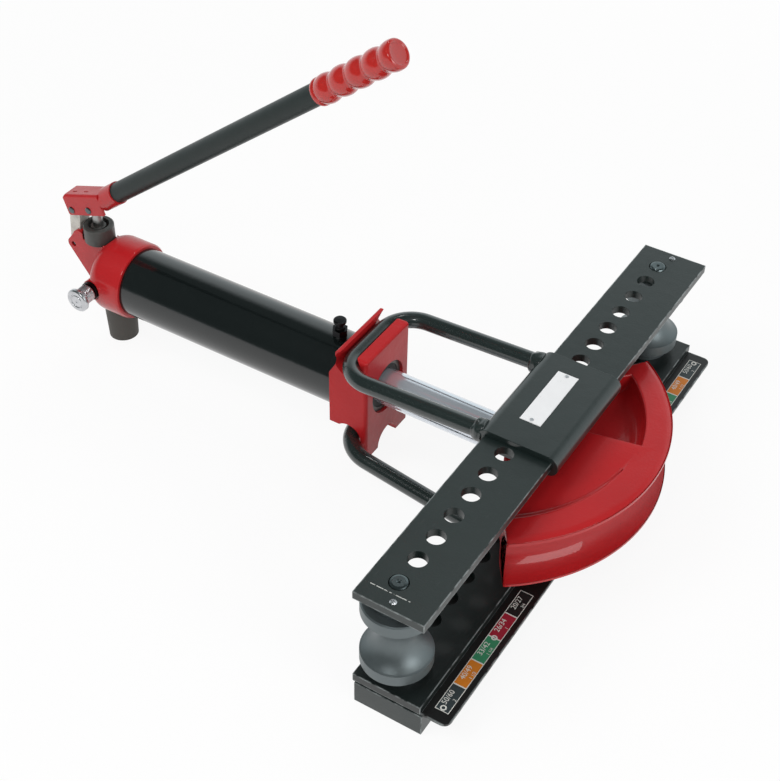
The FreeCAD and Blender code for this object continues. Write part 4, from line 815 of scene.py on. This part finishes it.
def release_knob():
    """The turned knob: a knurled waist and a wide disc with a ring and a dimple in its face."""
    low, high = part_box("release_valve_knob")
    axis = Vector(((low.x + high.x) / 2, 0, (low.z + high.z) / 2))
    disc, waist, bore = (high.x - low.x) / 2, 11 * MM, 5.1 * MM
    foot, band_low, band_high, face = 5.5 * MM, 7.5 * MM, 19.5 * MM, 29 * MM
    turned = [(waist - 1 * MM, foot), (waist, foot + 1 * MM), (waist, band_low), (waist, band_high),
              (waist - 1.2 * MM, 20.6 * MM), (waist - 1.2 * MM, 22.2 * MM),
              (disc - 1.2 * MM, 22.2 * MM), (disc, 23.6 * MM), (disc, 27.4 * MM),
              (disc - 1.4 * MM, face)]
    ringed = [(9.8 * MM, face), (9.2 * MM, face - 0.8 * MM), (8.2 * MM, face - 0.8 * MM),
              (7.6 * MM, face - 0.1 * MM), (2.6 * MM, face - 0.1 * MM)]
    corners = [(bore, foot), *turned, *ringed, (0, face - 1.8 * MM), (0, 16 * MM), (bore, 16 * MM)]
    soft = [corner for corner in turned if corner[1] not in (band_low, band_high)]
    knob = lathe("release_knob_turned", corners, 64, True, [(0.35 * MM, 2, soft)])
    bpy.ops.object.mode_set(mode="EDIT")
    pick(knob, "EDGE", lambda edge: is_upright(knob, edge, waist, band_low, band_high))
    bpy.ops.mesh.subdivide_edgering(number_cuts=10)
    pick(knob, "FACE", lambda face: abs(face.normal.z) < 0.1 and band_low < face.center.z < band_high
         and Vector(face.center[:2]).length > waist - 0.3 * MM)
    bpy.ops.mesh.poke(offset=0.38 * MM)
    bpy.ops.object.mode_set(mode="OBJECT")
    knob.rotation_euler = (math.radians(90), 0, 0)
    knob.location = (axis.x, COLLAR_FACE_Y, axis.z)
    finish_mesh(knob, 28)
    return settle(knob, "release_valve", "bright_zinc", SHARED["bright_zinc"], "release_valve_knob")


def is_upright(piece, edge, radius, low, high):
    """Whether an edge runs along the band between two heights on a given radius."""
    ends = [piece.data.vertices[index].co for index in edge.vertices]
    heights = sorted(end.z for end in ends)
    on_band = abs(heights[0] - low) < ON_CORNER and abs(heights[1] - high) < ON_CORNER
    return on_band and all(abs(math.hypot(end.x, end.y) - radius) < 10 * ON_CORNER for end in ends)


INK = {name: print_ink("ink_" + name, colour) for name, colour in LABEL_COLOURS.items()}
INK["white"] = print_ink("ink_white", (0.66, 0.66, 0.62))


# Stage

CAMERA_PLACE = (0.4694, -1.1009, 1.2380)
CAMERA_TURN = (48.369, -0.919, 31.963)
FOCAL_PIXELS = 1468.21
PHOTO_HEIGHT = 781
SENSOR_WIDTH = 36

# Name, place, target, size, power, and whether the gloss mirrors it.
LAMPS = [
    ("key_box", (-1.3, -1.5, 2.4), (-0.25, 0, 0.1), (1.4, 1.4), 34, False),
    ("fill_box", (2.2, -0.6, 1.3), (-0.1, 0, 0.1), (1.6, 1.2), 26, True),
    ("rim_box", (-0.4, 2.3, 1.6), (-0.25, 0, 0.1), (2.0, 0.9), 14, False),
    ("top_box", (-0.5, 0.9, 2.3), (-0.4, 0, 0.2), (0.15, 0.15), 1.4, True),
    ("spark_box", (0.15, -1.7, 1.9), (-0.1, 0, 0.1), (0.4, 0.4), 6, True),
]
BACKDROP = (0.90, 0.98, 1.0, 1)
OVERHEAD = (0.10, 0.12, 0.12, 1)
WHITE = (1, 1, 1, 1)
FLOOR_SIZE = 8
FLOOR_MIDDLE = (-0.25, 0, -0.4 * MM)


def build_camera():
    lens = bpy.data.cameras.new("photo_camera")
    lens.sensor_width = SENSOR_WIDTH
    lens.sensor_fit = "AUTO"
    lens.lens = FOCAL_PIXELS / PHOTO_HEIGHT * lens.sensor_width
    lens.dof.use_dof = False
    camera = bpy.data.objects.new("photo_camera", lens)
    camera.location = CAMERA_PLACE
    camera.rotation_euler = [math.radians(turn) for turn in CAMERA_TURN]
    bpy.context.scene.collection.objects.link(camera)
    bpy.context.scene.camera = camera


def lamp(name, place, target, size, power, mirrored):
    """A soft box that points at a target. Only a mirrored one is seen in the gloss."""
    light = bpy.data.lights.new(name, "AREA")
    light.shape = "RECTANGLE"
    light.size, light.size_y = size
    light.energy = power
    item = bpy.data.objects.new(name, light)
    item.location = place
    item.rotation_euler = (Vector(target) - Vector(place)).to_track_quat("-Z", "Y").to_euler()
    item.visible_glossy = mirrored
    bpy.context.scene.collection.objects.link(item)


def build_world():
    """A white background for the eye, and for reflections a studio with a bright backdrop."""
    world = bpy.data.worlds.new("studio")
    world.use_nodes = True
    bpy.context.scene.world = world
    tree = world.node_tree
    tree.nodes.clear()
    where = put(tree, "TexCoord").outputs["Generated"]
    parts = put(tree, "SeparateXYZ", {0: where})
    behind = maths(tree, "MULTIPLY", parts.outputs[1], 0.5)
    height = maths(tree, "SUBTRACT", parts.outputs[2], behind)
    overhead = put(tree, "MapRange", {"Value": height, "From Min": 0.18, "From Max": 0.50}).outputs[0]
    ramp = put(tree, "Mix", {0: overhead, 6: BACKDROP, 7: OVERHEAD}, data_type="RGBA")
    studio = put(tree, "Background", {"Strength": 1.0})
    tree.links.new(ramp.outputs[2], studio.inputs["Color"])
    diffuse = put(tree, "Background", {"Color": WHITE, "Strength": 0.42})
    white = put(tree, "Background", {"Color": WHITE, "Strength": 1.0})
    path = put(tree, "LightPath")
    eye = maths(tree, "MAXIMUM", path.outputs["Is Camera Ray"], path.outputs["Is Transmission Ray"])
    glossy = put(tree, "MixShader", {0: path.outputs["Is Glossy Ray"]})
    tree.links.new(diffuse.outputs[0], glossy.inputs[1])
    tree.links.new(studio.outputs[0], glossy.inputs[2])
    final = put(tree, "MixShader", {0: eye})
    tree.links.new(glossy.outputs[0], final.inputs[1])
    tree.links.new(white.outputs[0], final.inputs[2])
    output = put(tree, "OutputWorld")
    tree.links.new(final.outputs[0], output.inputs["Surface"])


def build_floor():
    """A pale sheet that keeps the object's shadow and runs out into the white background."""
    start()
    bpy.ops.mesh.primitive_grid_add(x_subdivisions=8, y_subdivisions=8, size=FLOOR_SIZE,
                                    location=FLOOR_MIDDLE)
    floor = fresh("floor")
    material = bpy.data.materials.new("floor_paper")
    material.use_nodes = True
    tree = material.node_tree
    shader = tree.nodes["Principled BSDF"]
    shader.inputs["Base Color"].default_value = (0.86, 0.86, 0.86, 1)
    shader.inputs["Roughness"].default_value = 0.9
    shader.inputs["Specular IOR Level"].default_value = 0.1
    output = tree.nodes["Material Output"]
    where = put(tree, "TexCoord").outputs["Object"]
    distance = put(tree, "VectorMath", {0: where}, operation="LENGTH").outputs["Value"]
    far = put(tree, "MapRange", {"Value": distance, "From Min": 0.9, "From Max": 2.4}).outputs[0]
    path = put(tree, "LightPath")
    eye = maths(tree, "MAXIMUM", path.outputs["Is Camera Ray"], path.outputs["Is Glossy Ray"])
    lift = put(tree, "MapRange", {"Value": far, "To Min": 0.90, "To Max": 1.0}).outputs[0]
    factor = maths(tree, "MULTIPLY", eye, lift)
    glow = put(tree, "Emission", {"Color": WHITE, "Strength": 1.0})
    mix = put(tree, "MixShader", {0: factor})
    tree.links.new(shader.outputs[0], mix.inputs[1])
    tree.links.new(glow.outputs[0], mix.inputs[2])
    tree.links.new(mix.outputs[0], output.inputs["Surface"])
    floor.data.materials.append(material)


def build_stage():
    build_world()
    build_floor()
    build_camera()
    for row in LAMPS:
        lamp(*row)
    bpy.context.scene.view_settings.view_transform = "Standard"


dress_nodes()
eased_copies()
hoop_welds()
printed_scale()
lever_grip()
release_knob()
build_stage()
